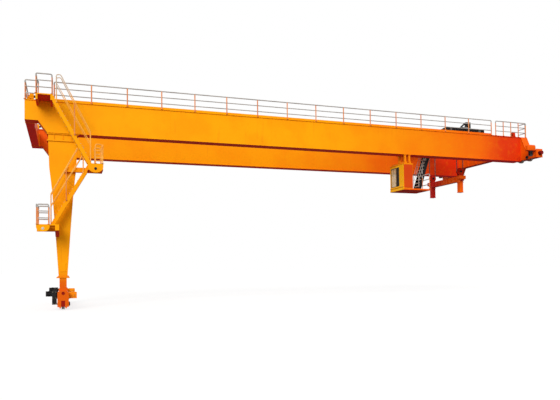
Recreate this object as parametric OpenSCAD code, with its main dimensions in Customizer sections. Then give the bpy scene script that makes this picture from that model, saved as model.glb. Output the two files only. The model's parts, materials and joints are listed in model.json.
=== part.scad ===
// Semi-gantry crane with two box girders, legs at one end and an end carriage at the other.
// X runs along the girders from the legs to the runway, Y along the rails, Z up.
// The origin is the centre of the ground beam's flat underside.

/* [Girders] */
// Centre distance of the two girders
girder_gauge = 7250; // [6000:50:9000]
// Width of a girder box
girder_w = 700; // [500:10:1000]
// Width of the girder flanges
flange_w = 800; // [600:10:1200]
// Thickness of the girder flanges
flange_t = 40; // [20:5:60]
// Depth of a girder over its flanges
girder_h = 1760; // [1400:20:2200]
// Height of the girder underside above the ground beam underside
girder_z = 9340; // [7000:20:11000]
// Overhang of the girders past the leg centre line
girder_back = 1930; // [1500:10:2600]
// Reach of the girders from the leg to the runway carriage
girder_reach = 31300; // [27000:100:33000]
// Depth of the girder at its overhang
back_depth = 1120; // [800:10:1400]
// Length of the shallow overhang
back_flat = 670; // [400:10:900]
// Length of the sloping haunch
haunch_len = 460; // [300:10:800]
// Depth of the end tie beam between the overhangs
tie_h = 800; // [500:10:1000]
// Width of the end tie beam
tie_w = 450; // [300:10:660]

/* [Trolley track] */
// Width of the trolley rail head
track_w = 80; // [50:5:120]
// Height of the trolley rail
track_h = 100; // [60:5:150]
// Length of a rail end stop
stop_l = 200; // [100:10:300]
// Width of a rail end stop
stop_w = 260; // [150:10:350]
// Height of a rail end stop
stop_h = 300; // [250:10:500]
// Distance of the end stops from the girder ends
stop_in = 250; // [200:10:900]

/* [Legs] */
// Width of a leg at its head
leg_top_w = 1500; // [1200:10:1800]
// Width of a leg at its foot
leg_foot_w = 450; // [350:10:700]
// Depth of a leg along the rail
leg_d = 600; // [400:10:800]
// Height of the leg foot above the ground beam underside
leg_foot_z = 1480; // [1000:10:2000]
// Height of the saddle between leg and girder
saddle_h = 370; // [200:10:500]
// Thickness of the leg plates at head and foot
leg_plate_t = 60; // [30:5:90]
// Width of the foot plate
foot_plate_w = 680; // [500:10:900]
// Width of the neck under the foot plate
neck_w = 370; // [250:10:450]

/* [Ground running gear] */
// Width of the ground beam
sill_w = 400; // [300:10:500]
// Depth of the ground beam
sill_h = 550; // [400:10:700]
// Width of a wheel housing
housing_w = 580; // [450:10:700]
// Length of a wheel housing along the rail
housing_l = 1100; // [900:10:1500]
// Height of the housing top above the ground beam underside
housing_top = 720; // [600:10:900]
// Depth of the housing below the ground beam underside
housing_drop = 140; // [80:10:180]
// Chamfer of the housing corners
housing_cut = 90; // [40:10:140]
// Width of the wheel slot
slot_w = 200; // [170:5:240]
// Tread diameter of a travel wheel
wheel_d = 560; // [450:10:700]
// Flange diameter of a travel wheel
wheel_flange_d = 610; // [500:10:760]
// Width of a travel wheel
wheel_w = 150; // [120:5:160]
// Thickness of one wheel flange
wheel_flange_t = 25; // [15:1:35]
// Diameter of the wheel axle
axle_d = 120; // [80:5:160]
// Length of the wheel axle
axle_l = 640; // [600:10:760]
// Radial running clearance of the axle
axle_gap = 1; // [0.2:0.1:3]
// Clearance of the wheel pocket
pocket_gap = 45; // [20:5:80]

/* [Drives] */
// Length of a travel motor
motor_l = 320; // [250:10:450]
// Diameter of a travel motor
motor_d = 300; // [200:10:380]
// Width of a travel gearbox
gear_w = 240; // [150:10:320]
// Length of a travel gearbox along the rail
gear_l = 320; // [220:10:420]
// Height of a travel gearbox
gear_h = 740; // [450:10:800]
// Length of the brake box on the other side of the foot
brake_l = 420; // [300:10:520]
// Height of the brake box
brake_h = 330; // [240:10:420]
// Depth of the brake box along the rail
brake_d = 300; // [200:10:420]

/* [Runway carriage] */
// Width of the end carriage box
carriage_w = 500; // [400:10:620]
// Height of the end carriage underside over the girder underside
carriage_lift = 60; // [0:10:200]
// Depth of the end carriage between the girders
carriage_h = 1660; // [1400:10:1700]
// Depth of the end carriage at its noses
nose_h = 560; // [520:10:800]
// Length of the low nose at each carriage end
nose_l = 950; // [900:10:1200]
// Length of the shoulder that slopes up from the nose
shoulder_l = 480; // [300:10:600]
// Rise of the carriage underside between the girders
belly_rise = 550; // [300:10:700]
// Distance of the raised underside from the inner runway wheels
belly_in = 450; // [400:10:700]
// Length of the slope up to the raised underside
belly_l = 350; // [200:10:500]
// Height of the drive box over the carriage underside
drive_lift = 400; // [300:10:480]
// Depth of the runway drive box
drive_h = 450; // [350:10:550]
// Length of the runway drive box along the girder
drive_l = 720; // [600:10:900]
// Length of the end carriage
carriage_l = 11000; // [9000:100:13000]
// Distance of the outer runway wheel from the carriage end
runway_wheel_in = 900; // [700:10:1400]
// Spacing of the two runway wheels of one end
runway_wheel_pitch = 850; // [780:10:1200]
// Tread diameter of a runway wheel
runway_wheel_d = 500; // [400:10:600]
// Flange diameter of a runway wheel
runway_flange_d = 550; // [440:10:660]
// Diameter of a buffer
buffer_d = 260; // [160:10:360]
// Length of a buffer
buffer_l = 280; // [150:10:400]

/* [Handrails] */
// Height of the handrails
rail_h = 1070; // [900:10:1200]
// Thickness of a handrail post
post_t = 50; // [40:5:70]
// Diameter of a handrail tube
tube_d = 42; // [30:1:60]
// Tubes in a handrail
tube_count = 3; // [2:1:4]
// First walkway post before the leg centre line
walk_first = 430; // [380:10:460]
// Gap between the walkway handrail and the runway end handrail
walk_gap = 385; // [200:5:1500]
// Walkway post spaces
walk_bays = 15; // [10:1:18]
// Length of the runway end handrail
end_rail_l = 2675; // [1800:5:3000]

/* [Stairs on the leg] */
// Height of the top tube over a flight
flight_rail_h = 1600; // [1200:10:1700]
// Width of one flight over its stringers
flight_w = 480; // [440:10:700]
// Gap between the two flights, for their handrails
flight_gap = 140; // [130:5:250]
// Gap between the leg side and the stair lane
lane_gap = 325; // [250:5:500]
// Thickness of a stair stringer
stringer_t = 40; // [20:2:60]
// Depth of a stair stringer
stringer_h = 400; // [250:10:450]
// Depth of a stair tread
tread_d = 220; // [180:5:280]
// Thickness of a stair tread
tread_t = 35; // [20:5:50]
// Rise between treads
tread_rise = 233; // [180:1:280]
// Left edge of the head platform
head_x0 = -1330; // [-1800:10:-1000]
// Right edge of the head platform
head_x1 = -500; // [-700:10:-300]
// Left edge of the middle landing
landing_x0 = 1250; // [1000:10:1500]
// Right edge of the middle landing
landing_x1 = 2050; // [1800:10:2500]
// Height of the middle landing
landing_z = 7540; // [6500:20:8500]
// Left edge of the lower platform
low_x0 = -1310; // [-1600:10:-1100]
// Foot of the lower flight
low_x1 = -650; // [-800:10:-500]
// Height of the lower platform
low_z = 4250; // [3500:10:5000]
// Thickness of the platform plates
deck_t = 60; // [30:5:100]
// Depth of the rounded side plates of the landings
side_plate_h = 430; // [320:10:520]
// Thickness of the rounded side plates
side_plate_t = 30; // [15:1:50]
// Diameter of the hole in the side plates
side_hole_d = 110; // [60:5:160]
// Depth of the bearers under platforms
bearer_h = 260; // [150:10:320]
// Width of the bearers under platforms
bearer_w = 100; // [60:5:150]
// Width of the arms from the leg
arm_w = 200; // [120:10:300]

/* [Cab] */
// Front of the cab before the runway end of the girders
cab_back = 9900; // [9000:100:12000]
// Length of the cab along the girder
cab_l = 700; // [650:10:1200]
// Length of the cab floor with its porch
cab_floor_l = 2050; // [1900:10:3000]
// Width of the cab across the girder
cab_w = 1750; // [1500:10:1900]
// Height of the cab walls
cab_h = 1620; // [1500:10:2100]
// Height of the cab floor top above the ground beam underside
cab_z = 7050; // [5500:10:7600]
// Offset of the cab's outer side past the girder flange
cab_out = 75; // [0:5:200]
// Thickness of the cab walls
cab_t = 60; // [40:5:100]
// Thickness of the cab floor
cab_floor_t = 100; // [60:5:150]
// Thickness of the cab roof
cab_roof_t = 70; // [40:5:120]
// Eaves of the cab roof
cab_eaves = 15; // [0:5:80]
// Height of the cab sill under the front windows
cab_sill = 220; // [150:10:600]
// Width of the solid front panel on the near side
front_panel = 600; // [400:10:700]
// Width of the narrow front pane
front_strip = 300; // [200:10:400]
// Height of the side window sill
side_sill = 700; // [500:10:900]
// Width of the corner posts of the cab
cab_post = 130; // [80:5:200]
// Head height over the cab windows
cab_head = 130; // [80:5:250]
// Thickness of the glass
glass_t = 12; // [6:1:24]
// Width of the cab doorway
cab_door_w = 700; // [600:10:800]
// Height of the cab doorway
cab_door_h = 1480; // [1300:10:1900]
// Thickness of the hanger posts
hanger_t = 120; // [80:5:180]
// Width of the stair lane down to the cab
cab_lane_w = 680; // [600:10:800]
// Gap between girder flange and the cab stair
cab_lane_gap = 60; // [40:5:200]
// Distance of the cab stair foot from the cab
cab_stair_in = 1000; // [700:10:1100]
// Slope of the cab stair in degrees
cab_stair_deg = 72; // [65:1:75]
// Depth of the cab stair stringers, measured upright
cab_stringer_h = 650; // [400:10:700]
// Length of the landing at the head of the cab stair
cab_head_l = 800; // [600:10:1000]

/* [Trolley] */
// Trolley centre before the runway end of the girders
trolley_back = 4670; // [3000:10:26000]
// Length of a trolley truck
truck_l = 3260; // [3150:10:4000]
// Width of a trolley truck
truck_w = 350; // [280:10:400]
// Depth of a trolley truck
truck_h = 230; // [200:10:320]
// Clearance of the truck over the rail
truck_gap = 30; // [20:5:80]
// Tread diameter of a trolley wheel
trolley_wheel_d = 300; // [260:10:360]
// Width of a trolley wheel
trolley_wheel_w = 110; // [90:5:130]
// Distance between the wheels of a truck
trolley_wheelbase = 2400; // [2000:50:2600]
// Width of the trolley wheel slots
truck_slot_w = 150; // [130:5:180]
// Width of the trolley cross beams
cross_w = 200; // [150:10:220]
// Depth of the trolley cross beams
cross_h = 280; // [240:10:320]
// Spacing of the trolley cross beams
cross_pitch = 2940; // [2900:10:3050]
// Diameter of the hoist drum
drum_d = 500; // [400:10:640]
// Distance of the drum from the trolley centre towards the runway
drum_off = 1020; // [500:10:1040]
// Length of the hoist drum
drum_l = 4500; // [3600:50:4800]
// Height of the drum centre over the trolley rail
drum_lift = 320; // [300:10:400]
// Diameter of the drum end discs
drum_disc_d = 580; // [480:10:700]
// Thickness of the drum end discs
drum_disc_t = 40; // [20:5:60]
// Height of the rope guide frame on the near truck
guide_h = 500; // [400:10:600]
// Length of the rope guide frame at its foot
guide_l = 980; // [700:10:1000]
// Distance of the rope guide frame's end from the trolley centre
guide_out = 550; // [300:10:700]
// Length of the rope guide frame at its head
guide_top = 400; // [200:10:450]
// Thickness of the rope guide frame
guide_t = 160; // [100:10:240]
// Width of the rope guide frame's bars
guide_bar = 130; // [90:10:150]
// Width of the drum bearers
drum_bearer_w = 240; // [160:10:320]
// Length of the hoist gearbox
hoist_gear_l = 520; // [400:10:640]
// Length of the hoist motor
hoist_motor_l = 760; // [500:10:900]
// Diameter of the hoist motor
hoist_motor_d = 420; // [300:10:500]

/* [Lifting beam] */
// Length of the lifting beam
beam_l = 4200; // [4000:50:4400]
// Width of the lifting beam
beam_w = 300; // [220:10:380]
// Depth of the lifting beam
beam_h = 400; // [300:10:500]
// Drop of the lifting beam centre under the girder underside
beam_drop = 1090; // [900:10:1600]
// Spacing of the sheave blocks
sheave_pitch = 3500; // [2800:50:3700]
// Height of the sheave centre over the beam centre
sheave_lift = 530; // [480:10:700]
// Thickness of a sheave
sheave_t = 130; // [120:5:160]
// Depth of the rope groove in a sheave
groove_h = 36; // [20:1:40]
// Thickness of the sheave rims beside the groove
rim_t = 12; // [8:1:16]
// Cut of the beam ends from below
beam_cut = 160; // [80:10:250]
// Length of the end blocks on the beam
end_block_l = 330; // [150:10:350]
// Overhang of the end blocks over the beam sides
end_block_out = 100; // [30:5:120]
// Thickness of a sheave cheek
cheek_t = 40; // [25:5:60]
// Width of a sheave cheek
cheek_w = 320; // [240:10:400]
// Rope diameter
rope_d = 32; // [20:1:40]
// Distance of the two rope falls on one side
rope_pitch = 60; // [45:1:80]
// Spacing of the hanging posts
hang_pitch = 3500; // [2600:50:3600]
// Width of a hanging post
hang_w = 300; // [240:10:400]
// Length of a hanging post under the beam
hang_l = 820; // [600:10:1000]

/* [Hidden] */
$fn = 32;
// One overrun for all cuts
over = 10;
near_y = -girder_gauge / 2;
cab_x = girder_reach - cab_back;
trolley_x = girder_reach - trolley_back;
hoist_x = trolley_x + drum_off;
walk_end = girder_reach + carriage_w - post_t / 2 - end_rail_l - walk_gap;
lane_w = 2 * flight_w + flight_gap;
girder_top = girder_z + girder_h;
track_z = girder_top + track_h;
flange_out = girder_gauge / 2 + flange_w / 2;
flange_in = girder_gauge / 2 - flange_w / 2;
leg_head_z = girder_z - saddle_h;
leg_z_shares = [0, 0.32, 0.63, 0.8, 1];
leg_w_shares = [0, 0.305, 0.63, 0.905, 1];
leg_side = girder_gauge / 2 + leg_d / 2;
lane_in = -leg_side - lane_gap;
lane_out = lane_in - lane_w;
// The upper flight takes the outer lane, the lower flight the inner one
upper_y0 = lane_out;
upper_y1 = lane_out + flight_w;
lower_y0 = lane_in - flight_w;
lower_y1 = lane_in;
tube_sides = 8;
// Offset of a handrail panel round a corner
turn = post_t + over;
tube_sink = post_t / 2;
sill_l = girder_gauge - housing_l;
carriage_x0 = girder_reach;
carriage_x1 = girder_reach + carriage_w;
carriage_z0 = girder_z + carriage_lift;
carriage_mid = (carriage_x0 + carriage_x1) / 2;
runway_wheel_z = carriage_z0 + runway_wheel_d / 4;
outer_wheel_y = carriage_l / 2 - runway_wheel_in;
inner_wheel_y = outer_wheel_y - runway_wheel_pitch;
cab_y0 = -flange_out - cab_out;
cab_y1 = cab_y0 + cab_w;
cab_top = cab_z + cab_h;
cab_x1 = cab_x + cab_l;
porch_x1 = cab_x + cab_floor_l;
cab_lane_y0 = -flange_in + cab_lane_gap;
cab_lane_y1 = cab_lane_y0 + cab_lane_w;
cab_stair_x0 = cab_x1 + cab_stair_in;
cab_stair_x1 = cab_stair_x0 + (girder_top - cab_z) / tan(cab_stair_deg);
truck_z0 = track_z + truck_gap;
truck_z1 = truck_z0 + truck_h;
drum_z = track_z + drum_lift;
beam_z = girder_z - beam_drop;
sheave_z = beam_z + sheave_lift;
sheave_d = drum_d + 2 * groove_h;
orange = [0.95, 0.55, 0.05];
dark = [0.12, 0.12, 0.13];
pale = [0.75, 0.75, 0.72];
red = [0.85, 0.25, 0.05];

// Box between two corners
module block(x0, x1, y0, y1, z0, z1) {
  translate([min(x0, x1), min(y0, y1), min(z0, z1)])
    cube([abs(x1 - x0), abs(y1 - y0), abs(z1 - z0)]);
}

// Profile in the XZ plane, as thick as t and centred on y
module slab(y, t, pts) {
  translate([0, y + t / 2, 0]) rotate([90, 0, 0]) linear_extrude(t) polygon(pts);
}

// Profile in the YZ plane from x0 to x1
module wall(x0, x1, pts) {
  translate([x0, 0, 0]) rotate([90, 0, 90]) linear_extrude(x1 - x0) polygon(pts);
}

// Round bar from a to b in the XZ plane or along Y
module tube(a, b, d, sides) {
  v = b - a;
  len_v = norm(v);
  translate(a)
    rotate([0, acos(v[2] / len_v), atan2(v[1], v[0])])
      cylinder(d = d, h = len_v, $fn = sides);
}

// Handrail along a straight path on one level, with posts at both ends
module handrail(a, b, bays, height) {
  for (i = [0 : bays]) {
    p = a + (b - a) * i / bays;
    block(p[0] - post_t / 2, p[0] + post_t / 2, p[1] - post_t / 2, p[1] + post_t / 2,
      p[2], p[2] + height);
  }
  for (k = [1 : tube_count]) {
    lift = [0, 0, height * k / tube_count - tube_sink];
    tube(a + lift, b + lift, tube_d, tube_sides);
  }
}

// Handrail up a flight, with upright posts
module flight_rail(a, b, bays, floor_z) {
  for (i = [0 : bays]) {
    p = a + (b - a) * i / bays;
    block(p[0] - post_t / 2, p[0] + post_t / 2, p[1] - post_t / 2, p[1] + post_t / 2,
      max(p[2] - stringer_h / 2, floor_z), p[2] + flight_rail_h);
  }
  for (k = [2 : tube_count]) {
    lift = [0, 0, flight_rail_h * k / tube_count - tube_sink];
    tube(a + lift, b + lift, tube_d, tube_sides);
  }
}

// Girder on side s, -1 near and 1 far, with its haunched overhang
module girder(s) {
  back = -girder_back;
  flat = back + back_flat;
  deep = flat + haunch_len;
  shallow_z = girder_top - back_depth;
  color(orange) {
    slab(s * girder_gauge / 2, girder_w, [
      [back, girder_top], [back, shallow_z], [flat, shallow_z],
      [deep, girder_z], [girder_reach, girder_z], [girder_reach, girder_top]
    ]);
    slab(s * girder_gauge / 2, flange_w, [
      [back, girder_top], [back, girder_top - flange_t],
      [carriage_x1, girder_top - flange_t], [carriage_x1, girder_top]
    ]);
    slab(s * girder_gauge / 2, flange_w, [
      [back, shallow_z], [flat, shallow_z], [deep, girder_z], [girder_reach, girder_z],
      [girder_reach, girder_z + flange_t], [deep, girder_z + flange_t],
      [flat, shallow_z + flange_t], [back, shallow_z + flange_t]
    ]);
  }
}

// Box beam that joins the two overhangs
module end_tie_beam() {
  color(orange)
    block(-girder_back, -girder_back + tie_w, -flange_in, flange_in,
      girder_top - back_depth, girder_top - back_depth + tie_h);
}

// Square rails for the trolley on both girders
module trolley_rails() {
  color(dark) for (s = [-1, 1])
    block(-girder_back, girder_reach, s * girder_gauge / 2 - track_w / 2,
      s * girder_gauge / 2 + track_w / 2, girder_top, track_z);
}

// End stops on the rails
module rail_stops() {
  color(orange) for (s = [-1, 1]) for (x = [-girder_back + stop_in, girder_reach - stop_in - stop_l])
    block(x, x + stop_l, s * girder_gauge / 2 - stop_w / 2, s * girder_gauge / 2 + stop_w / 2,
      track_z, track_z + stop_h);
}

// Half width of a leg at share k of its height
function leg_half(k) = (leg_foot_w + (leg_top_w - leg_foot_w) * leg_w_shares[k]) / 2;
// Height of the leg at share k
function leg_z(k) = leg_foot_z + (leg_head_z - leg_foot_z) * leg_z_shares[k];

// Tapered leg with saddle, foot plate and neck
module leg(s) {
  y = s * girder_gauge / 2;
  last = len(leg_z_shares) - 1;
  color(orange) {
    slab(y, leg_d, concat(
      [for (k = [0 : last]) [leg_half(k), leg_z(k)]],
      [for (k = [last : -1 : 0]) [-leg_half(k), leg_z(k)]]
    ));
    block(-leg_top_w / 2, leg_top_w / 2, y - leg_d / 2, y + leg_d / 2, leg_head_z, girder_z);
    for (z = [leg_head_z - leg_plate_t, girder_z - leg_plate_t])
      block(-leg_top_w / 2 - leg_plate_t, leg_top_w / 2 + leg_plate_t,
        y - leg_d / 2 - leg_plate_t, y + leg_d / 2 + leg_plate_t, z, z + leg_plate_t);
    block(-foot_plate_w / 2, foot_plate_w / 2, y - foot_plate_w / 2, y + foot_plate_w / 2,
      leg_foot_z - leg_plate_t, leg_foot_z);
    block(-neck_w / 2, neck_w / 2, y - leg_d / 2, y + leg_d / 2, housing_top, leg_foot_z - leg_plate_t);
  }
}

// Beam between the two feet
module ground_beam() {
  color(orange) block(-sill_w / 2, sill_w / 2, -sill_l / 2, sill_l / 2, 0, sill_h);
}

// Wheel housing with chamfered corners and a slot for the wheel
module foot_housing(s) {
  y = s * girder_gauge / 2;
  half = housing_w / 2;
  color(orange) difference() {
    slab(y, housing_l, [
      [-half, -housing_drop], [half, -housing_drop], [half, housing_top - housing_cut],
      [half - housing_cut, housing_top], [housing_cut - half, housing_top],
      [-half, housing_top - housing_cut]
    ]);
    block(-slot_w / 2, slot_w / 2, y - housing_l, y + housing_l, -housing_drop - over, 0);
    block(-slot_w / 2, slot_w / 2, y - wheel_flange_d / 2 - pocket_gap,
      y + wheel_flange_d / 2 + pocket_gap, -housing_drop - over, wheel_flange_d / 2 + pocket_gap);
    translate([0, y, 0]) rotate([0, 90, 0])
      cylinder(d = axle_d + 2 * axle_gap, h = housing_w + 2 * over, center = true, $fn = 48);
  }
}

// Double flanged wheel on its axle
module flanged_wheel(tread, flange, length) {
  rotate([0, 90, 0]) {
    cylinder(d = tread, h = wheel_w, center = true, $fn = 48);
    for (e = [-1, 1])
      translate([0, 0, e * (wheel_w - wheel_flange_t) / 2])
        cylinder(d = flange, h = wheel_flange_t, center = true, $fn = 48);
    cylinder(d = axle_d, h = length, center = true, $fn = 48);
  }
}

// Wheel under one leg
module ground_wheel(s) {
  color(dark) translate([0, s * girder_gauge / 2, 0]) flanged_wheel(wheel_d, wheel_flange_d, axle_l);
}

// Gearbox and motor of one foot, on the side away from the runway
module ground_drives() {
  x1 = -axle_l / 2 - over;
  zm = housing_top - motor_d / 2;
  color(dark) for (s = [-1, 1]) {
    y = s * girder_gauge / 2;
    block(x1 - gear_w, x1, y - gear_l / 2, y + gear_l / 2, zm + motor_d / 2 - gear_h, zm + motor_d / 2);
    tube([x1 - gear_w - motor_l, y, zm], [x1 - gear_w, y, zm], motor_d, 24);
    block(x1, -housing_w / 2, y - gear_l / 2, y + gear_l / 2, zm - motor_d / 4, zm + motor_d / 4);
  }
}

// Brake boxes on the other side of the feet
module foot_brakes() {
  z1 = housing_top - housing_cut;
  color(orange) for (s = [-1, 1])
    block(housing_w / 2, housing_w / 2 + brake_l, s * girder_gauge / 2 - brake_d / 2,
      s * girder_gauge / 2 + brake_d / 2, z1 - brake_h, z1);
}

// End carriage box with wheel slots and axle bores
module end_carriage() {
  end_y = carriage_l / 2;
  nose_y = end_y - nose_l;
  deep_y = nose_y - shoulder_l;
  low_y = inner_wheel_y - belly_in;
  high_y = low_y - belly_l;
  belly_z = carriage_z0 + belly_rise;
  color(orange) difference() {
    wall(carriage_x0, carriage_x1, [
      [-end_y, carriage_z0], [-low_y, carriage_z0], [-high_y, belly_z], [high_y, belly_z],
      [low_y, carriage_z0], [end_y, carriage_z0], [end_y, carriage_z0 + nose_h],
      [nose_y, carriage_z0 + nose_h], [deep_y, carriage_z0 + carriage_h],
      [-deep_y, carriage_z0 + carriage_h], [-nose_y, carriage_z0 + nose_h],
      [-end_y, carriage_z0 + nose_h]
    ]);
    for (s = [-1, 1]) for (w = [outer_wheel_y, inner_wheel_y]) {
      block(carriage_mid - slot_w / 2, carriage_mid + slot_w / 2,
        s * w - runway_flange_d / 2 - pocket_gap, s * w + runway_flange_d / 2 + pocket_gap,
        carriage_z0 - over, runway_wheel_z + runway_flange_d / 2 + pocket_gap);
      translate([carriage_mid, s * w, runway_wheel_z]) rotate([0, 90, 0])
        cylinder(d = axle_d + 2 * axle_gap, h = carriage_w + 2 * over, center = true, $fn = 48);
    }
  }
}

// Wheel of the end carriage
module runway_wheel(y) {
  color(dark) translate([carriage_mid, y, runway_wheel_z])
    flanged_wheel(runway_wheel_d, runway_flange_d, carriage_w - over);
}

// Gearbox and hanging motor at both ends of the carriage
module runway_drives() {
  x1 = carriage_x0;
  for (s = [-1, 1]) {
    y = s * (carriage_l / 2 - gear_l / 2);
    z0 = carriage_z0 + drive_lift;
    color(orange) slab(y, gear_l, [
      [x1 - drive_l, z0], [x1, z0], [x1, z0 + drive_h], [x1 - drive_l + drive_h / 3, z0 + drive_h],
      [x1 - drive_l + drive_h / 8, z0 + drive_h * 7 / 8], [x1 - drive_l, z0 + drive_h * 2 / 3]
    ]);
    color(dark) tube([x1 - drive_l / 2, y, z0 - motor_l], [x1 - drive_l / 2, y, z0], motor_d, 24);
  }
}

// Buffers at the ends of the carriage
module carriage_buffers() {
  color(dark) for (s = [-1, 1]) {
    tube([carriage_mid, s * carriage_l / 2, carriage_z0 + nose_h / 2],
      [carriage_mid, s * (carriage_l / 2 + buffer_l), carriage_z0 + nose_h / 2], buffer_d, 24);
  }
}

// Handrail on the outer edge of one girder
module walk_rail(s) {
  y = s * (flange_out - post_t / 2);
  color(pale) handrail([-walk_first, y, girder_top],
    [walk_end, y, girder_top], walk_bays, rail_h);
}

// Handrail round the overhang at the leg end
module leg_end_rail() {
  x = -girder_back + post_t / 2;
  y = flange_out - post_t / 2;
  tie_top = girder_top - back_depth + tie_h;
  color(pale) {
    for (s = [-1, 1]) {
      handrail([x, s * y, girder_top], [x + back_flat, s * y, girder_top], 1, rail_h);
      handrail([x, s * (y - turn), girder_top], [x, s * (y - flange_w + post_t), girder_top], 1, rail_h);
    }
    handrail([x, -flange_in + post_t, tie_top], [x, flange_in - post_t, tie_top], 4,
      rail_h + girder_top - tie_top);
  }
}

// Handrails round the girder ends at the runway
module runway_end_rails() {
  x = carriage_x1 - post_t / 2;
  y = flange_out - post_t / 2;
  color(pale) for (s = [-1, 1]) {
    handrail([x - end_rail_l, s * y, girder_top], [x, s * y, girder_top], 4, rail_h);
    handrail([x, s * (y - turn), girder_top], [x, s * (y - flange_w + post_t), girder_top], 1, rail_h);
  }
}

// Plate beside the near girder where the stair arrives
module head_platform() {
  color(orange) {
    block(head_x0, head_x1, lane_out, -flange_out, girder_top - deck_t, girder_top);
    for (x = [head_x0, head_x1 - bearer_w])
      block(x, x + bearer_w, lane_out, -girder_gauge / 2 - girder_w / 2,
        girder_top - deck_t - bearer_h, girder_top - deck_t);
  }
}

// Rails of the head platform
module head_platform_rail() {
  y = lane_out + post_t / 2;
  x = head_x0 + post_t / 2;
  color(pale) {
    handrail([x, y, girder_top], [head_x1 - post_t / 2, y, girder_top], 1, rail_h);
    handrail([x, y + turn, girder_top], [x, -flange_out - post_t / 2, girder_top], 1, rail_h);
    handrail([head_x1 - post_t / 2, upper_y1 + post_t, girder_top],
      [head_x1 - post_t / 2, -flange_out - post_t / 2, girder_top], 1, rail_h);
  }
}

// Two stringers from the head a to the foot b, both [x, z], on a lane from y0 to y1
module stringers(a, b, y0, y1, depth) {
  foot = (b[0] - a[0]) * depth / (a[1] - b[1]);
  for (y = [y0 + stringer_t / 2, y1 - stringer_t / 2])
    slab(y, stringer_t, [
      [a[0], a[1]], [b[0], b[1]], [b[0] - foot, b[1]], [a[0], a[1] - depth]
    ]);
}

// Stringers of the upper flight
module upper_stair_stringers() {
  color(orange) stringers(upper_a, upper_b, upper_y0, upper_y1, stringer_h);
}

// Stringers of the lower flight
module lower_stair_stringers() {
  color(orange) stringers(lower_a, lower_b, lower_y0, lower_y1, stringer_h);
}

// Deep stringers of the steep cab stair
module cab_stair_stringers() {
  color(dark) stringers(cab_a, cab_b, cab_lane_y0, cab_lane_y1, cab_stringer_h);
}

// Treads between the stringers
module treads(a, b, y0, y1) {
  steps = floor(abs(b[1] - a[1]) / tread_rise);
  for (i = [1 : steps - 1]) {
    x = a[0] + (b[0] - a[0]) * i / steps;
    z = a[1] + (b[1] - a[1]) * i / steps - stringer_h / 3;
    block(x - tread_d / 2, x + tread_d / 2, y0 + stringer_t, y1 - stringer_t, z - tread_t, z);
  }
}

upper_a = [head_x1, girder_top];
upper_b = [landing_x0 + stringer_h / 2, landing_z];
lower_a = [landing_x0, landing_z];
lower_b = [low_x1, low_z];
cab_a = [cab_stair_x1, girder_top];
cab_b = [cab_stair_x0, cab_z];

// Handrails on both sides of a flight, with end posts just inside its ends
module flight_rails(a, b, y0, y1, bays) {
  foot = b - (b - a) * post_t / abs(b[0] - a[0]);
  head = a + (b - a) * (flight_rail_h - rail_h) / (a[1] - b[1]);
  for (y = [y0 - post_t / 2, y1 + post_t / 2])
    flight_rail([head[0], y, head[1]], [foot[0], y, foot[1]], bays, b[1]);
}

// Side plate under a deck edge with a rounded belly and a hole, its face on y
module side_plate(x0, x1, y, z1, depth) {
  mid = (x0 + x1) / 2;
  half = (x1 - x0) / 2;
  flat = depth / 4;
  belly = depth - flat;
  steps = 12;
  difference() {
    slab(y + side_plate_t / 2, side_plate_t, concat(
      [[x0, z1], [x0, z1 - flat]],
      [for (i = [1 : steps - 1]) [mid - half * cos(180 * i / steps), z1 - flat - belly * sin(180 * i / steps)]],
      [[x1, z1 - flat], [x1, z1]]
    ));
    translate([mid, y + side_plate_t / 2, z1 - depth / 2]) rotate([90, 0, 0])
      cylinder(d = side_hole_d, h = side_plate_t + 2 * over, center = true);
  }
}

// Landing halfway up the leg, on two bearers, rounded side plates and an arm
module mid_landing() {
  z1 = landing_z - deck_t;
  color(orange) {
    block(landing_x0, landing_x1, lane_out, lane_in, z1, landing_z);
    side_plate(landing_x0, landing_x1, lane_out, z1, side_plate_h);
    block(0, landing_x1, -leg_side - arm_w, -leg_side, z1 - bearer_h, z1);
    for (x = [landing_x0, landing_x1 - bearer_w])
      block(x, x + bearer_w, lane_out + flight_w / 2, -leg_side - arm_w, z1 - bearer_h, z1);
  }
}

// Rails of the landing
module mid_landing_rail() {
  x = landing_x1 - post_t / 2;
  color(pale) {
    for (y = [lane_out + post_t / 2, lane_in - post_t / 2])
      handrail([landing_x0 + stringer_h, y, landing_z], [x - turn, y, landing_z], 1, rail_h);
    handrail([x, lane_out + post_t / 2, landing_z], [x, lane_in - post_t / 2, landing_z], 1, rail_h);
  }
}

// Lower platform with its arm on the leg
module lower_platform() {
  z1 = low_z - deck_t;
  arm_x = -leg_half(1);
  color(orange) {
    block(low_x0, arm_x + arm_w, lane_out, lane_in, z1, low_z);
    wall(arm_x, arm_x + arm_w, [
      [lane_out, z1], [-leg_side, z1], [-leg_side, z1 - bearer_h * 2], [lane_out, z1 - bearer_h]
    ]);
    side_plate(low_x0, low_x1, lane_out, z1, side_plate_h * 3 / 4);
    block(low_x0, arm_x, lane_in - bearer_w, lane_in, z1 - bearer_h, z1);
    block(low_x0, arm_x, lane_out + flight_w / 2, lane_out + flight_w / 2 + bearer_w, z1 - bearer_h / 2, z1);
  }
}

// Rails of the lower platform
module lower_platform_rail() {
  x = low_x0 + post_t / 2;
  x1 = low_x1 - post_t;
  color(pale) {
    for (y = [lane_out + post_t / 2, lane_in - post_t / 2])
      handrail([x + turn, y, low_z], [x1, y, low_z], 1, rail_h);
    handrail([x, lane_out + post_t / 2, low_z], [x, lane_in - post_t / 2, low_z], 1, rail_h);
  }
}

// Floor of the cab and its porch
module cab_floor() {
  color(orange) block(cab_x, porch_x1, cab_y0, cab_y1, cab_z - cab_floor_t, cab_z);
}

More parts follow.
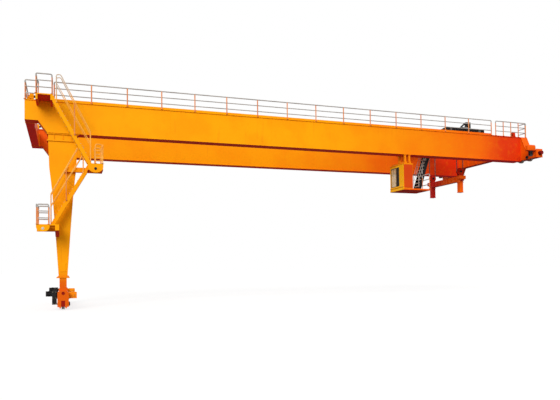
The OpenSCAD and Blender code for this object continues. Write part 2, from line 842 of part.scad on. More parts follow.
front_mid = (cab_y0 + cab_y1) / 2;
strip_y0 = cab_y0 + front_panel;
strip_y1 = strip_y0 + front_strip;
front_panes = [[strip_y0, strip_y1], [strip_y1 + cab_t, cab_y1 - cab_post]];
window_z1 = cab_top - cab_head;
side_x0 = cab_x + cab_post;
side_x1 = cab_x1 - cab_post;
door_y0 = front_mid - cab_door_w / 2;
door_y1 = front_mid + cab_door_w / 2;

// Hollow cab walls with window and door holes
module cab_walls() {
  color(orange) difference() {
    block(cab_x, cab_x1, cab_y0, cab_y1, cab_z, cab_top);
    block(cab_x + cab_t, cab_x1 - cab_t, cab_y0 + cab_t, cab_y1 - cab_t, cab_z - over, cab_top + over);
    for (p = front_panes)
      block(cab_x - over, cab_x + cab_t + over, p[0], p[1], cab_z + cab_sill, window_z1);
    block(side_x0, side_x1, cab_y1 - cab_t - over, cab_y1 + over, cab_z + side_sill, window_z1);
    block(cab_x1 - cab_t - over, cab_x1 + over, door_y0, door_y1, cab_z - over, cab_z + cab_door_h);
  }
}

// Roof plate with eaves
module cab_roof() {
  color(orange) block(cab_x - cab_eaves, cab_x1 + cab_eaves, cab_y0 - cab_eaves, cab_y1 + cab_eaves,
    cab_top, cab_top + cab_roof_t);
}

// Panes in the window holes
module cab_glass() {
  color([0.7, 0.8, 0.85, 0.5]) {
    for (p = front_panes)
      block(cab_x + cab_t / 2 - glass_t / 2, cab_x + cab_t / 2 + glass_t / 2, p[0], p[1],
        cab_z + cab_sill, window_z1);
    block(side_x0, side_x1, cab_y1 - cab_t / 2 - glass_t / 2, cab_y1 - cab_t / 2 + glass_t / 2,
      cab_z + side_sill, window_z1);
  }
}

// Closed door to the porch
module cab_door() {
  color(orange) block(cab_x1 - cab_t, cab_x1, door_y0, door_y1, cab_z, cab_z + cab_door_h);
}

// Beams on the cab roof and posts up to the girder, and porch hangers
module cab_hanger() {
  z0 = cab_top + cab_roof_t;
  z1 = z0 + hanger_t;
  color(orange) {
    for (x = [cab_x + cab_post, cab_x1 - cab_post - hanger_t]) {
      block(x, x + hanger_t, cab_y0, cab_y1, z0, z1);
      for (y = [-flange_out, -flange_in - hanger_t])
        block(x, x + hanger_t, y, y + hanger_t, z1, girder_z);
    }
  }
}

// Landing at the head of the cab stair, beside the girder top
module cab_stair_head() {
  color(dark) {
    block(cab_stair_x1, cab_stair_x1 + cab_head_l, -flange_in, cab_lane_y1, girder_top - deck_t, girder_top);
    for (x = [cab_stair_x1, cab_stair_x1 + cab_head_l - bearer_w])
      block(x, x + bearer_w, near_y + girder_w / 2, cab_lane_y1,
        girder_top - deck_t - bearer_h, girder_top - deck_t);
  }
}

// Rails of the porch beside the cab door
module cab_porch_rail() {
  x = porch_x1 - post_t / 2;
  y = cab_y0 + post_t / 2;
  color(pale) {
    handrail([x, y, cab_z], [x, cab_lane_y0 - post_t, cab_z], 1, rail_h);
  }
}

// Open frame that leans over the near truck
module rope_guide() {
  x1 = trolley_x + guide_out;
  x0 = x1 - guide_l;
  top = truck_z1 + guide_h;
  slope = guide_l - guide_top;
  difference() {
    slab(near_y, guide_t, [[x0, truck_z1], [x1, truck_z1], [x1, top], [x1 - guide_top, top]]);
    slab(near_y, guide_t + 2 * over, [
      [x0 + guide_bar * 2, truck_z1 + guide_bar], [x1 - guide_bar, truck_z1 + guide_bar],
      [x1 - guide_bar, top - guide_bar], [x0 + guide_bar * 2 + slope / 2, top - guide_bar]
    ]);
  }
}

// Trucks, cross beams and drum bearers in one frame
module trolley_frame() {
  half = truck_l / 2;
  cross_z0 = truck_z1 - cross_h;
  color(dark) difference() {
    union() {
      for (s = [-1, 1]) {
        y = s * girder_gauge / 2;
        block(trolley_x - half, trolley_x + half, y - truck_w / 2, y + truck_w / 2, truck_z0, truck_z1);
        block(trolley_x - cross_pitch / 2, trolley_x + cross_pitch / 2,
          s * drum_l / 2, s * (drum_l / 2 + drum_bearer_w), cross_z0, truck_z1);
      }
      for (e = [-1, 1])
        block(trolley_x + e * cross_pitch / 2 - cross_w / 2, trolley_x + e * cross_pitch / 2 + cross_w / 2,
          truck_w / 2 - girder_gauge / 2, girder_gauge / 2 - truck_w / 2, cross_z0, truck_z1);
      rope_guide();
    }
    for (s = [-1, 1]) for (e = [-1, 1])
      block(trolley_x + e * trolley_wheelbase / 2 - trolley_wheel_d / 2 - pocket_gap,
        trolley_x + e * trolley_wheelbase / 2 + trolley_wheel_d / 2 + pocket_gap,
        s * girder_gauge / 2 - truck_slot_w / 2, s * girder_gauge / 2 + truck_slot_w / 2,
        truck_z0 - over, track_z + trolley_wheel_d + pocket_gap);
  }
}

// Trolley wheels on stub axles that meet the truck sides
module trolley_wheels() {
  color(dark) for (s = [-1, 1]) for (e = [-1, 1])
    translate([trolley_x + e * trolley_wheelbase / 2, s * girder_gauge / 2, track_z + trolley_wheel_d / 2])
      rotate([90, 0, 0]) {
        cylinder(d = trolley_wheel_d, h = trolley_wheel_w, center = true, $fn = 40);
        cylinder(d = axle_d, h = truck_slot_w, center = true);
      }
}

// Hoist drum with end discs
module hoist_drum() {
  half = drum_l / 2 - drum_bearer_w;
  color(dark) translate([hoist_x, 0, drum_z]) rotate([90, 0, 0])
    rotate_extrude($fn = 40) polygon([
      [0, -half], [drum_disc_d / 2, -half], [drum_disc_d / 2, drum_disc_t - half],
      [drum_d / 2, drum_disc_t - half], [drum_d / 2, half - drum_disc_t],
      [drum_disc_d / 2, half - drum_disc_t], [drum_disc_d / 2, half], [0, half]
    ]);
}

// Bearing blocks and the gearbox on the drum bearers
module hoist_gear() {
  y0 = drum_l / 2 - drum_bearer_w;
  color(dark) {
    for (s = [-1, 1])
      block(hoist_x - drum_d / 3, hoist_x + drum_d / 3, s * y0, s * (y0 + drum_bearer_w * 2),
        truck_z1, drum_z + drum_d / 3);
    block(hoist_x - drum_d / 2, hoist_x + drum_d / 2, y0 + drum_bearer_w * 2,
      y0 + drum_bearer_w * 2 + hoist_gear_l, truck_z1, drum_z + drum_d / 2);
  }
}

// Hoist motor on the far side of the trolley
module hoist_motor() {
  color(dark) {
    tube([trolley_x - cross_pitch / 2, drum_l / 2 - hoist_motor_l, truck_z1 + hoist_motor_d / 2],
      [trolley_x - cross_pitch / 2, drum_l / 2, truck_z1 + hoist_motor_d / 2], hoist_motor_d, 24);
  }
}

// Rope falls between drum and sheaves
module hoist_ropes() {
  color(dark) for (s = [-1, 1]) for (e = [-1, 1]) for (k = [-1, 1])
    translate([hoist_x + e * (drum_d + rope_d) / 2, s * sheave_pitch / 2 + k * rope_pitch / 2, sheave_z])
      cylinder(d = rope_d, h = drum_z - sheave_z, $fn = tube_sides);
}

// Box beam that the ropes carry
module lifting_beam() {
  half = beam_l / 2;
  z0 = beam_z - beam_h / 2;
  z1 = beam_z + beam_h / 2;
  color(red) {
    wall(hoist_x - beam_w / 2, hoist_x + beam_w / 2, [
      [-half + beam_cut, z0], [half - beam_cut, z0], [half, z0 + beam_cut], [half, z1],
      [-half, z1], [-half, z0 + beam_cut]
    ]);
    for (s = [-1, 1])
      block(hoist_x - beam_w / 2 - end_block_out, hoist_x + beam_w / 2 + end_block_out,
        s * (half - end_block_l), s * half, z0 + beam_cut, z1);
  }
}

// Sheaves between cheeks over the beam ends
module sheave_blocks() {
  color(red) for (s = [-1, 1]) {
    y = s * sheave_pitch / 2;
    translate([hoist_x, y, sheave_z]) rotate([90, 0, 0])
      rotate_extrude($fn = 40) polygon([
        [0, -sheave_t / 2], [sheave_d / 2, -sheave_t / 2], [sheave_d / 2, rim_t - sheave_t / 2],
        [drum_d / 2, rim_t - sheave_t / 2], [drum_d / 2, sheave_t / 2 - rim_t],
        [sheave_d / 2, sheave_t / 2 - rim_t], [sheave_d / 2, sheave_t / 2], [0, sheave_t / 2]
      ]);
    for (e = [-1, 1])
      block(hoist_x - cheek_w / 2, hoist_x + cheek_w / 2, y + e * sheave_t / 2,
        y + e * (sheave_t / 2 + cheek_t), beam_z + beam_h / 2, sheave_z + cheek_w / 2);
  }
}

// Posts under the beam that take the load
module hanging_posts() {
  color(red) for (s = [-1, 1])
    block(hoist_x - hang_w / 2, hoist_x + hang_w / 2, s * hang_pitch / 2 - hang_w / 2,
      s * hang_pitch / 2 + hang_w / 2, beam_z - beam_h / 2 - hang_l, beam_z - beam_h / 2);
}

girder(-1);  // near_girder
girder(1);  // far_girder
end_tie_beam();
trolley_rails();
rail_stops();
leg(-1);  // near_leg
leg(1);  // far_leg
ground_beam();
foot_housing(-1);  // near_foot_housing
foot_housing(1);  // far_foot_housing
ground_wheel(-1);  // near_ground_wheel
ground_wheel(1);  // far_ground_wheel
ground_drives();
foot_brakes();
end_carriage();
runway_wheel(-outer_wheel_y);  // near_runway_wheel_a
runway_wheel(-inner_wheel_y);  // near_runway_wheel_b
runway_wheel(outer_wheel_y);  // far_runway_wheel_a
runway_wheel(inner_wheel_y);  // far_runway_wheel_b
runway_drives();
carriage_buffers();
walk_rail(-1);  // near_walk_rail
walk_rail(1);  // far_walk_rail
leg_end_rail();
runway_end_rails();
head_platform();
head_platform_rail();
upper_stair_stringers();
color(pale) treads(upper_a, upper_b, upper_y0, upper_y1);  // upper_stair_treads
color(pale) flight_rails(upper_a, upper_b, upper_y0, upper_y1, 2);  // upper_stair_rails
mid_landing();
mid_landing_rail();
lower_stair_stringers();
color(pale) treads(lower_a, lower_b, lower_y0, lower_y1);  // lower_stair_treads
color(pale) flight_rails(lower_a, lower_b, lower_y0, lower_y1, 2);  // lower_stair_rails
lower_platform();
lower_platform_rail();
cab_floor();
cab_walls();
cab_roof();
cab_glass();
cab_door();
cab_hanger();
cab_stair_stringers();
color(pale) treads(cab_a, cab_b, cab_lane_y0, cab_lane_y1);  // cab_stair_treads
cab_stair_head();
cab_porch_rail();
trolley_frame();
trolley_wheels();
hoist_drum();
hoist_gear();
hoist_motor();
hoist_ropes();
lifting_beam();
sheave_blocks();
hanging_posts();
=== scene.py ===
import bmesh
import bpy
import json
import math
from mathutils import Matrix, Vector


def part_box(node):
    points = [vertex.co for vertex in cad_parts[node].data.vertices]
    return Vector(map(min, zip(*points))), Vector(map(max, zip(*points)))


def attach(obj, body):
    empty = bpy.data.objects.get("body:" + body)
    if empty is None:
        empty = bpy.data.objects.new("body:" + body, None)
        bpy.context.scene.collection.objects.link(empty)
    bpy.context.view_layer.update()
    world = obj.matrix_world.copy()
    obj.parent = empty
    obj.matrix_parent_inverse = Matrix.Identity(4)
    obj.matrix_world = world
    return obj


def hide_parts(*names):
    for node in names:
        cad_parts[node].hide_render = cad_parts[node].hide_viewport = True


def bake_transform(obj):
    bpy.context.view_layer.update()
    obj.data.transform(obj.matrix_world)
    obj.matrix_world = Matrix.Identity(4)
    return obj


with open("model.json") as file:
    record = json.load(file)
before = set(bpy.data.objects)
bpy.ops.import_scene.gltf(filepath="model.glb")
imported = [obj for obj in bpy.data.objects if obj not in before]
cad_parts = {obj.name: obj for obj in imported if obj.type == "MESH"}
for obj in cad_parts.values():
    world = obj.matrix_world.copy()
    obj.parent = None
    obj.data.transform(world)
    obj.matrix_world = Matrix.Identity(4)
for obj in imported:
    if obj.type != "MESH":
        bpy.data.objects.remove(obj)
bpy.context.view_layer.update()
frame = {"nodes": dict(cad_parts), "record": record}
nodes = frame["nodes"]
scene = bpy.context.scene
scene.view_settings.view_transform = "Standard"

# --- main lengths, in metres
TOP, UNDER = 11.1, 9.34  # girder top and underside
NEAR, FAR = -3.625, 3.625  # middles of the girders and legs
EDGE, INNER = 4.025, 3.225  # outer and inner sides of the girders
REACH, BACK = 31.3, 31.8  # faces of the end carriage
NOSE = 5.5  # ends of the end carriage
AXLE_X, AXLE_Z = 31.55, 9.525  # runway axles
WHEEL_A, WHEEL_B = 4.6, 3.75  # runway wheels from the middle
HOUSING = 0.29  # half width of a foot
SADDLE, FOOT_PLATE = 8.97, 1.48  # bolted plates on the legs
RAIL, FLIGHT = 1.07, 1.6  # handrail heights on decks and stairs
POST = 0.025  # half width of a handrail post
LANE_OUT, LANE_IN, LANE = -5.35, -4.25, 0.48  # stair lanes and their width
RISER = 0.233  # least rise of a step
UPPER_A, UPPER_B = (-0.5, TOP), (1.45, 7.54)  # head and foot of each flight, in X and Z
LOWER_A, LOWER_B = (1.25, 7.54), (-0.65, 4.25)
CAB_A, CAB_B = (24.416, TOP), (23.1, 7.05)
CAB_LO, CAB_HI = Vector((21.4, -4.1, 7.05)), Vector((22.1, -2.35, 8.67))  # corners of the cab
WALK_A, WALK_B = -0.43, 28.715  # ends of the walkway handrails
TROLLEY, HOIST = 26.63, 27.65  # middles of the trolley and the drum
DECK, DRUM_Z, SHEAVE_Z = 11.46, 11.52, 8.78  # trolley deck, drum axis, sheave axis
DRUM_HALF = 2.01  # half of the drum's length
FALL = 1.75  # rope falls and posts from the middle
FLOOR = -0.31  # height of the studio floor

X, Y, Z = range(3)
UP = Vector((0, 0, 1))
SIDES = (-1, 1)
NAMED_SIDES = ((-1, "near"), (1, "far"))


# --- camera
def place_camera():
    yaw, pitch, roll = (math.radians(v) for v in (19.9, 1.62, -0.73))
    ahead = Vector((math.sin(yaw) * math.cos(pitch), math.cos(yaw) * math.cos(pitch), math.sin(pitch)))
    right = Vector((math.cos(yaw), -math.sin(yaw), 0))
    up = right.cross(ahead)
    side = right * math.cos(roll) + up * math.sin(roll)
    top = up * math.cos(roll) - right * math.sin(roll)
    lens = bpy.data.cameras.new("camera")
    lens.sensor_width = 36
    lens.lens = 38.2
    lens.shift_y = 0.0911
    lens.clip_end = 2000
    eye = bpy.data.objects.new("camera", lens)
    scene.collection.objects.link(eye)
    turn = Matrix((side, top, -ahead)).transposed().to_4x4()
    eye.matrix_world = Matrix.Translation((0.1, -38.45, 1.83)) @ turn
    scene.camera = eye


place_camera()


# --- finishes
class Knob:
    """A node's output that can stand in a sum."""

    def __init__(self, finish, socket):
        self.finish = finish
        self.socket = socket

    def sum(self, operation, *values):
        return self.finish.node("Math", dict(enumerate(values)), operation=operation)

    def __add__(self, other):
        return self.sum("ADD", self, other)

    __radd__ = __add__

    def __sub__(self, other):
        return self.sum("SUBTRACT", self, other)

    def __rsub__(self, other):
        return self.sum("SUBTRACT", other, self)

    def __mul__(self, other):
        return self.sum("MULTIPLY", self, other)


def light(colour):
    """A node's output as it is, or an sRGB colour of 0 to 255 as linear light."""
    if isinstance(colour, Knob):
        return colour
    shares = [v / 255 for v in colour]
    return [v / 12.92 if v <= 0.04045 else ((v + 0.055) / 1.055) ** 2.4 for v in shares] + [1.0]


class Finish:
    """The nodes of a material or of the world, all made by one method."""

    def __init__(self, owner):
        self.owner = owner
        owner.use_nodes = True
        self.tree = owner.node_tree
        self.tree.nodes.clear()

    def node(self, kind, sockets=None, out=0, **settings):
        made = self.tree.nodes.new("ShaderNode" + kind)
        for key, value in settings.items():
            setattr(made, key, value)
        for key, value in (sockets or {}).items():
            if isinstance(value, Knob):
                self.tree.links.new(value.socket, made.inputs[key])
            else:
                made.inputs[key].default_value = value
        return Knob(self, made.outputs[out]) if len(made.outputs) else None

    def place(self, stretch=None):
        spot = self.node("TexCoord", out="Object")
        return self.node("Mapping", {"Vector": spot, "Scale": stretch}) if stretch else spot

    def noise(self, scale, detail=3.0, rough=0.55, stretch=None):
        return self.node("TexNoise", {
            "Vector": self.place(stretch), "Scale": scale, "Detail": detail, "Roughness": rough})

    def band(self, value, low, high):
        return self.node("MapRange", {"Value": value, "From Min": low, "From Max": high},
                         interpolation_type="SMOOTHSTEP")

    def spots(self, low, high, *noise):
        """The part of a noise over low, full from high."""
        return self.band(self.noise(*noise), low, high)

    def along(self, axis):
        return self.node("SeparateXYZ", {0: self.place()}, axis)

    def zone(self, axis, drift, low, high):
        """Grows from low to high along an axis, with a drifting edge."""
        return self.band(self.along(axis) + drift, low, high)

    def facing(self, axis):
        return self.node("SeparateXYZ", {0: self.node("NewGeometry", out="Normal")}, axis)

    def blend(self, share, a, b):
        return self.node("Mix", {0: share, 6: light(a), 7: light(b)}, 2, data_type="RGBA")

    def bump(self, height, strength, distance):
        return self.node("Bump", {"Height": height, "Strength": strength, "Distance": distance})

    def seen(self):
        """One for rays that see the background: from the eye, a glossy surface or glass."""
        eye, shine, through = (self.node("LightPath", out="Is %s Ray" % kind)
                               for kind in ("Camera", "Glossy", "Transmission"))
        return eye.sum("MAXIMUM", eye.sum("MAXIMUM", eye, shine), through)

    def close(self, shader, kind="Material"):
        self.node("Output" + kind, {"Surface": shader})
        return self.owner

    def surface(self, sockets):
        return self.close(self.node("BsdfPrincipled", sockets))


def new_finish(name):
    return Finish(bpy.data.materials.new(name))


DUST, PRIMER, RUST, TUBE_RUST = (170, 150, 118), (96, 44, 22), (118, 74, 48), (120, 70, 42)


def enamel(name, colour, deep, grime, underside_shade, gloss=0.42, end_shade=None, tip=None, low=None, head=None,
           far_side_shade=None, shade_below=None):
    """Weathered paint on plate: tone drift, rain streaks, dust on top, worn specks, orange peel.

    Painted shade, one argument each: redder towards the runway end and darker red at its tip, redder at the feet,
    redder at the overhang end, darker red towards +Y, and dark red on undersides that lie below a given height."""
    f = new_finish(name)
    tone = f.noise(0.55, 4.0)
    paint = f.blend(f.band(tone, 0.36, 0.66) * 0.5, colour, deep)
    # Painted shade: redder towards the runway end, and darker red at its tip.
    if end_shade:
        paint = f.blend(f.zone(X, tone * 3.0, 14.0, 34.0), paint, end_shade)
        paint = f.blend(f.zone(X, tone * 1.6, 28.4, 30.8) * 0.85, paint, tip)
    # Painted shade: redder at the overhang end, on faces that look neither to -X nor to +Y.
    if head:
        outer = (1 - f.band(0 - f.facing(X), 0.3, 0.8)) * (1 - f.band(f.facing(Y), 0.3, 0.8))
        paint = f.blend((1 - f.zone(X, tone * 0.5, -0.9, 0.9)) * outer, paint, head)
    # Painted shade: a darker red towards +Y.
    if far_side_shade:
        paint = f.blend(f.zone(Y, tone * 0.6, -0.6, 1.9), paint, far_side_shade)
    # Painted shade: redder at the feet.
    if low:
        paint = f.blend(1 - f.zone(Z, tone * 0.4, 1.2, 2.2), paint, low)
    paint = f.blend(f.spots(0.5, 0.75, 3.1, 5.0, 0.6) * 0.16, paint, deep)
    rise = f.facing(Z)
    upright = 1 - rise.sum("ABSOLUTE", rise)
    rain = f.spots(0.56, 0.78, 1.0, 6.0, 0.62, (5.5, 5.5, 0.28)) * f.spots(0.42, 0.62, 0.8) * upright
    paint = f.blend(rain * 0.36, paint, grime)
    # Painted shade: undersides turn darker red, except those above the given height.
    down = f.band(0 - rise, 0.2, 0.75)
    if shade_below:
        down = down * (1 - f.band(f.along(Z), shade_below, shade_below + 0.3))
    paint = f.blend(down * 0.92, paint, underside_shade)
    top = f.band(rise, 0.6, 0.95) * f.spots(0.35, 0.7, 2.4, 6.0, 0.65)
    paint = f.blend(top * 0.35, paint, DUST)
    specks = f.spots(0.66, 0.71, 21.0, 8.0, 0.72) * f.spots(0.5, 0.68, 1.3, 2.0) * 0.5
    paint = f.blend(specks, paint, PRIMER)
    rough = f.noise(7.0, 4.0) * 0.22 + gloss - 0.08 + rain * 0.25 + top * 0.3 + specks * 0.3 + down * 0.6
    peel = f.noise(55.0, 2.0) * 0.35 + f.noise(1.7, 2.0) * 2.2 - specks * 1.5
    return f.surface({"Base Color": paint, "Roughness": rough, "Specular IOR Level": 0.06,
                      "Normal": f.bump(peel, 0.22, 0.004)})


def black_enamel(name):
    """Black machine paint with grease, dust and bare worn spots."""
    f = new_finish(name)
    paint = f.blend(f.spots(0.35, 0.7, 1.9, 5.0, 0.6), (10, 10, 13), (24, 22, 24))
    grease = f.spots(0.55, 0.7, 3.3, 4.0)
    paint = f.blend(grease * 0.7, paint, (20, 16, 13))
    top = f.band(f.facing(Z), 0.5, 0.95) * f.spots(0.38, 0.7, 4.0, 6.0, 0.68)
    paint = f.blend(top * 0.3, paint, (84, 76, 68))
    worn = f.spots(0.67, 0.72, 26.0, 8.0, 0.7) * f.spots(0.45, 0.65, 2.1, 2.0)
    paint = f.blend(worn * 0.8, paint, (128, 122, 116))
    rough = 0.5 - grease * 0.22 + top * 0.28 + f.noise(12.0) * 0.12
    return f.surface({"Base Color": paint, "Roughness": rough, "Metallic": worn * 0.6,
                      "Specular IOR Level": 0.2,
                      "Normal": f.bump(f.noise(70.0) + f.noise(4.0, 2.0), 0.2, 0.003)})


def rail_paint(name, colour, deep, upper=None):
    """Paint on handrail tube, rubbed on top, with specks of rust; upper is the colour over the deck."""
    f = new_finish(name)
    paint = f.blend(f.spots(0.35, 0.68, 1.4, 4.0), colour, deep)
    if upper:
        paint = f.blend(f.band(f.along(Z), 10.9, 11.5), paint, upper)
    rub = f.spots(0.6, 0.72, 9.0, 5.0, 0.65) * f.band(f.facing(Z), 0.1, 0.8)
    paint = f.blend(rub * 0.5, paint, (150, 146, 140))
    rust = f.spots(0.64, 0.72, 16.0, 7.0, 0.7) * f.spots(0.5, 0.66, 1.1, 2.0)
    paint = f.blend(rust * 0.7, paint, TUBE_RUST)
    rough = 0.38 + f.noise(14.0, 4.0) * 0.2 + rust * 0.25
    return f.surface({"Base Color": paint, "Roughness": rough, "Metallic": rub * 0.35,
                      "Normal": f.bump(f.noise(90.0) + rust * 2.0, 0.15, 0.002)})


def bare_steel(name, colour, deep, gloss=0.36):
    """Rolled and machined steel with turning lines, oil and light rust."""
    f = new_finish(name)
    lines = f.noise(2.0, 8.0, 0.7, (60.0, 1.0, 60.0))
    metal = f.blend(f.band(lines, 0.35, 0.65), colour, deep)
    oil = f.spots(0.5, 0.7, 3.0, 4.0)
    metal = f.blend(oil * 0.55, metal, (52, 44, 36))
    rust = f.spots(0.58, 0.7, 7.0, 7.0, 0.7)
    metal = f.blend(rust * 0.5, metal, RUST)
    rough = lines * 0.18 + gloss - oil * 0.1 + rust * 0.3
    return f.surface({"Base Color": metal, "Roughness": rough, "Metallic": 0.95 - rust * 0.7,
                      "Normal": f.bump(lines + rust, 0.18, 0.002)})


def wire_rope(name):
    """Greased strands laid at a slant round the rope."""
    f = new_finish(name)
    wave = f.node("TexWave", {"Vector": f.place((1, 1, 0.6)), "Scale": 14.0, "Distortion": 0.4, "Detail": 2.0},
                  wave_type="BANDS", bands_direction="DIAGONAL")
    lay = f.node("SeparateColor", {0: wave})
    metal = f.blend(f.band(lay, 0.2, 0.8), (34, 32, 30), (112, 106, 98))
    metal = f.blend(f.spots(0.5, 0.7, 5.0, 4.0) * 0.6, metal, (40, 34, 28))
    return f.surface({"Base Color": metal, "Roughness": 0.42 + f.noise(40.0) * 0.2, "Metallic": lay * 0.6,
                      "Normal": f.bump(lay, 0.6, 0.004)})


def rubber(name):
    """Matt black rubber with bloom and scuffs."""
    f = new_finish(name)
    bloom = f.spots(0.45, 0.72, 5.0, 6.0, 0.65)
    return f.surface({"Base Color": f.blend(bloom, (24, 24, 25), (58, 56, 54)), "Roughness": 0.72 + bloom * 0.15,
                      "Normal": f.bump(f.noise(120.0), 0.2, 0.002)})


def pane(name):
    """Cab glass with a film of dust; its half opaque cream tint is a painted reflection."""
    f = new_finish(name)
    film = f.spots(0.4, 0.75, 2.6, 5.0, 0.6) * 0.16
    return f.surface({"Base Color": f.blend(film * 4.0, (240, 218, 176), (222, 190, 142)),
                      "Roughness": 0.06 + film * 0.8, "Alpha": 0.5 + film * 1.6, "Specular IOR Level": 0.5})


def seat_cloth(name):
    """Woven black seat cover."""
    f = new_finish(name)
    weave = f.node("TexChecker", {"Vector": f.place(), "Scale": 260.0}, 1)
    cloth = f.blend(weave, (34, 36, 42), (52, 54, 60))
    cloth = f.blend(f.spots(0.5, 0.7, 6.0, 4.0) * 0.4, cloth, (74, 70, 66))
    return f.surface({"Base Color": cloth, "Roughness": 0.88, "Normal": f.bump(weave, 0.4, 0.001)})


# Painted shade: the last of these colours darkens the undersides.
ORANGE = ((251, 168, 4), (246, 148, 2), (196, 92, 10), (196, 30, 40))
# Painted shade: redder towards the runway end, darker red at its tip.
RUNWAY_END = {"end_shade": (236, 92, 6), "tip": (214, 42, 14)}
HAUNCH = 10.4  # height over which undersides get no painted shade
FINISH = {  # each with its slot; the first of a slot is that slot's own
    # Painted shade: the low colour reddens the feet.
    "orange": ("orange_paint", enamel("orange_enamel", *ORANGE, low=(220, 94, 10), **RUNWAY_END)),
    "girder": ("orange_paint", enamel("near_girder_enamel", *ORANGE, shade_below=HAUNCH, **RUNWAY_END)),
    # Painted shade: the far girder and tie beam are redder at the runway end, its tip and the overhang end.
    "far": ("orange_paint", enamel(
        "far_girder_enamel", (248, 156, 4), (244, 140, 4), (190, 80, 12), (206, 38, 42),
        end_shade=(222, 50, 10), tip=(212, 44, 12), head=(238, 92, 14), shade_below=HAUNCH)),
    "shade": ("orange_paint", enamel(
        "shade_enamel", (150, 26, 14), (120, 16, 12), (80, 20, 14), (70, 10, 10), 0.5)),
    "brake": ("orange_paint", enamel(
        "brake_enamel", (252, 158, 16), (244, 124, 14), (190, 90, 20), (200, 80, 20), 0.4)),
    # Painted shade: the end carriage's orange is set redder, as in shade.
    "carriage": ("orange_paint", enamel(
        "carriage_enamel", (236, 98, 10), (226, 72, 12), (160, 50, 16), (150, 20, 24), 0.4)),
    "cab": ("cab_paint", enamel(
        "cab_enamel", (254, 186, 16), (250, 164, 10), (200, 112, 26), (140, 34, 16), 0.36)),
    "cream": ("cab_paint", enamel(
        "cream_enamel", (250, 226, 178), (240, 200, 140), (176, 140, 92), (130, 90, 60), 0.3)),
    "side": ("cab_paint", enamel(
        "side_enamel", (210, 74, 18), (198, 58, 16), (150, 46, 18), (110, 24, 16), 0.4)),
    # Painted shade: a darker red on the lifting parts towards +Y.
    "red": ("red_paint", enamel(
        "red_enamel", (246, 104, 8), (232, 70, 10), (150, 36, 14), (150, 16, 22), far_side_shade=(206, 36, 30))),
    "crimson": ("red_paint", enamel(
        "crimson_enamel", (206, 40, 22), (176, 24, 24), (96, 18, 18), (70, 8, 14))),
    "black": ("dark_paint", black_enamel("black_enamel")),
    "cloth": ("dark_paint", seat_cloth("seat_cloth")),
    "rail": ("rail_paint", rail_paint("grey_rail_paint", (176, 174, 172), (150, 148, 146))),
    "flight": ("rail_paint", rail_paint("flight_rail_paint", (248, 182, 70), (240, 158, 46), (206, 184, 160))),
    "post": ("rail_paint", rail_paint("post_paint", (228, 142, 72), (210, 116, 52))),
    "tread": ("rail_paint", rail_paint("tread_galvanising", (206, 200, 190), (172, 166, 158))),
    "steel": ("steel", bare_steel("rolled_steel", (128, 124, 120), (92, 88, 84))),
    "bolt": ("steel", bare_steel("bolt_steel", (150, 140, 126), (116, 106, 94), 0.42)),
    "rope": ("steel", wire_rope("wire_rope")),
    "rubber": ("rubber", rubber("black_rubber")),
    "buffer": ("rubber", enamel(
        "buffer_urethane", (132, 22, 24), (108, 14, 20), (70, 14, 16), (60, 8, 12), 0.6)),
    "glass": ("glass", pane("cab_glass")),
}
OWN_FINISH = {"far_girder": "far", "end_tie_beam": "far", "near_girder": "girder", "cab_roof": "orange",
              "end_carriage": "carriage", "cab_floor": "carriage", "sheave_blocks": "crimson"}


def paint_frame():
    """Gives each CAD node its own finish, or that of its slot."""
    by_slot = {}
    for key, (slot, _) in FINISH.items():
        by_slot.setdefault(slot, key)
    for part in frame["record"]["subparts"]:
        skins = nodes[part["node"]].data.materials
        material = FINISH[OWN_FINISH.get(part["node"], by_slot[part["material_slot"]])][1]
        for spot in range(len(skins)):
            skins[spot] = material
        if not len(skins):
            skins.append(material)


paint_frame()


# --- hand tools
def clear():
    if bpy.context.mode != "OBJECT":
        bpy.ops.object.mode_set(mode="OBJECT")
    bpy.ops.object.select_all(action="DESELECT")


def take(piece):
    clear()
    piece.select_set(True)
    bpy.context.view_layer.objects.active = piece


def label(piece, name):
    piece.name = name
    piece.data.name = name
    return piece


def settle(name):
    bpy.ops.object.transform_apply(location=True, rotation=True, scale=True)
    return label(bpy.context.active_object, name)


def block(name, lo, hi):
    """A block between two corners, to be shaped further."""
    clear()
    bpy.ops.mesh.primitive_cube_add(size=1, location=[(a + b) / 2 for a, b in zip(lo, hi)],
                                    scale=[abs(b - a) for a, b in zip(lo, hi)])
    return settle(name)


def bar(name, mid, axis, radius, length, sides=24):
    """A round bar along an axis, to be shaped further."""
    clear()
    aim = {"x": (0, math.pi / 2, 0), "y": (math.pi / 2, 0, 0), "z": (0, 0, 0)}[axis]
    bpy.ops.mesh.primitive_cylinder_add(vertices=sides, radius=radius, depth=length, location=mid, rotation=aim)
    return settle(name)


def to(axis, sign):
    return ("+" if sign > 0 else "-") + axis


def looks(side):
    """A test for faces that look to a side, such as "+z", or both ways along an axis, such as "z"."""
    spot, sign = "xyz".index(side[-1]), {"+": 1, "-": -1}.get(side[0])
    return lambda c, n: (n[spot] * sign if sign else abs(n[spot])) > 0.9


def shape(piece, test, *steps):
    """Picks faces by their side, or by a test of place and normal, and works them in edit mode."""
    if isinstance(test, str):
        test = looks(test)
    take(piece)
    bpy.ops.object.mode_set(mode="EDIT")
    bpy.ops.mesh.select_mode(type="FACE")
    bpy.ops.mesh.select_all(action="DESELECT")
    mesh = bmesh.from_edit_mesh(piece.data)
    for face in mesh.faces:
        face.select_set(bool(test(face.calc_center_median(), face.normal)))
    bmesh.update_edit_mesh(piece.data)
    for operator, options in steps:
        operator(**options)
    bpy.ops.object.mode_set(mode="OBJECT")
    return piece


def inset(thickness, depth=0.0, single=False):
    return (bpy.ops.mesh.inset, {"thickness": thickness, "depth": depth, "use_individual": single})


def push(x=0.0, y=0.0, z=0.0):
    return (bpy.ops.mesh.extrude_region_move, {"TRANSFORM_OT_translate": {"value": (x, y, z)}})


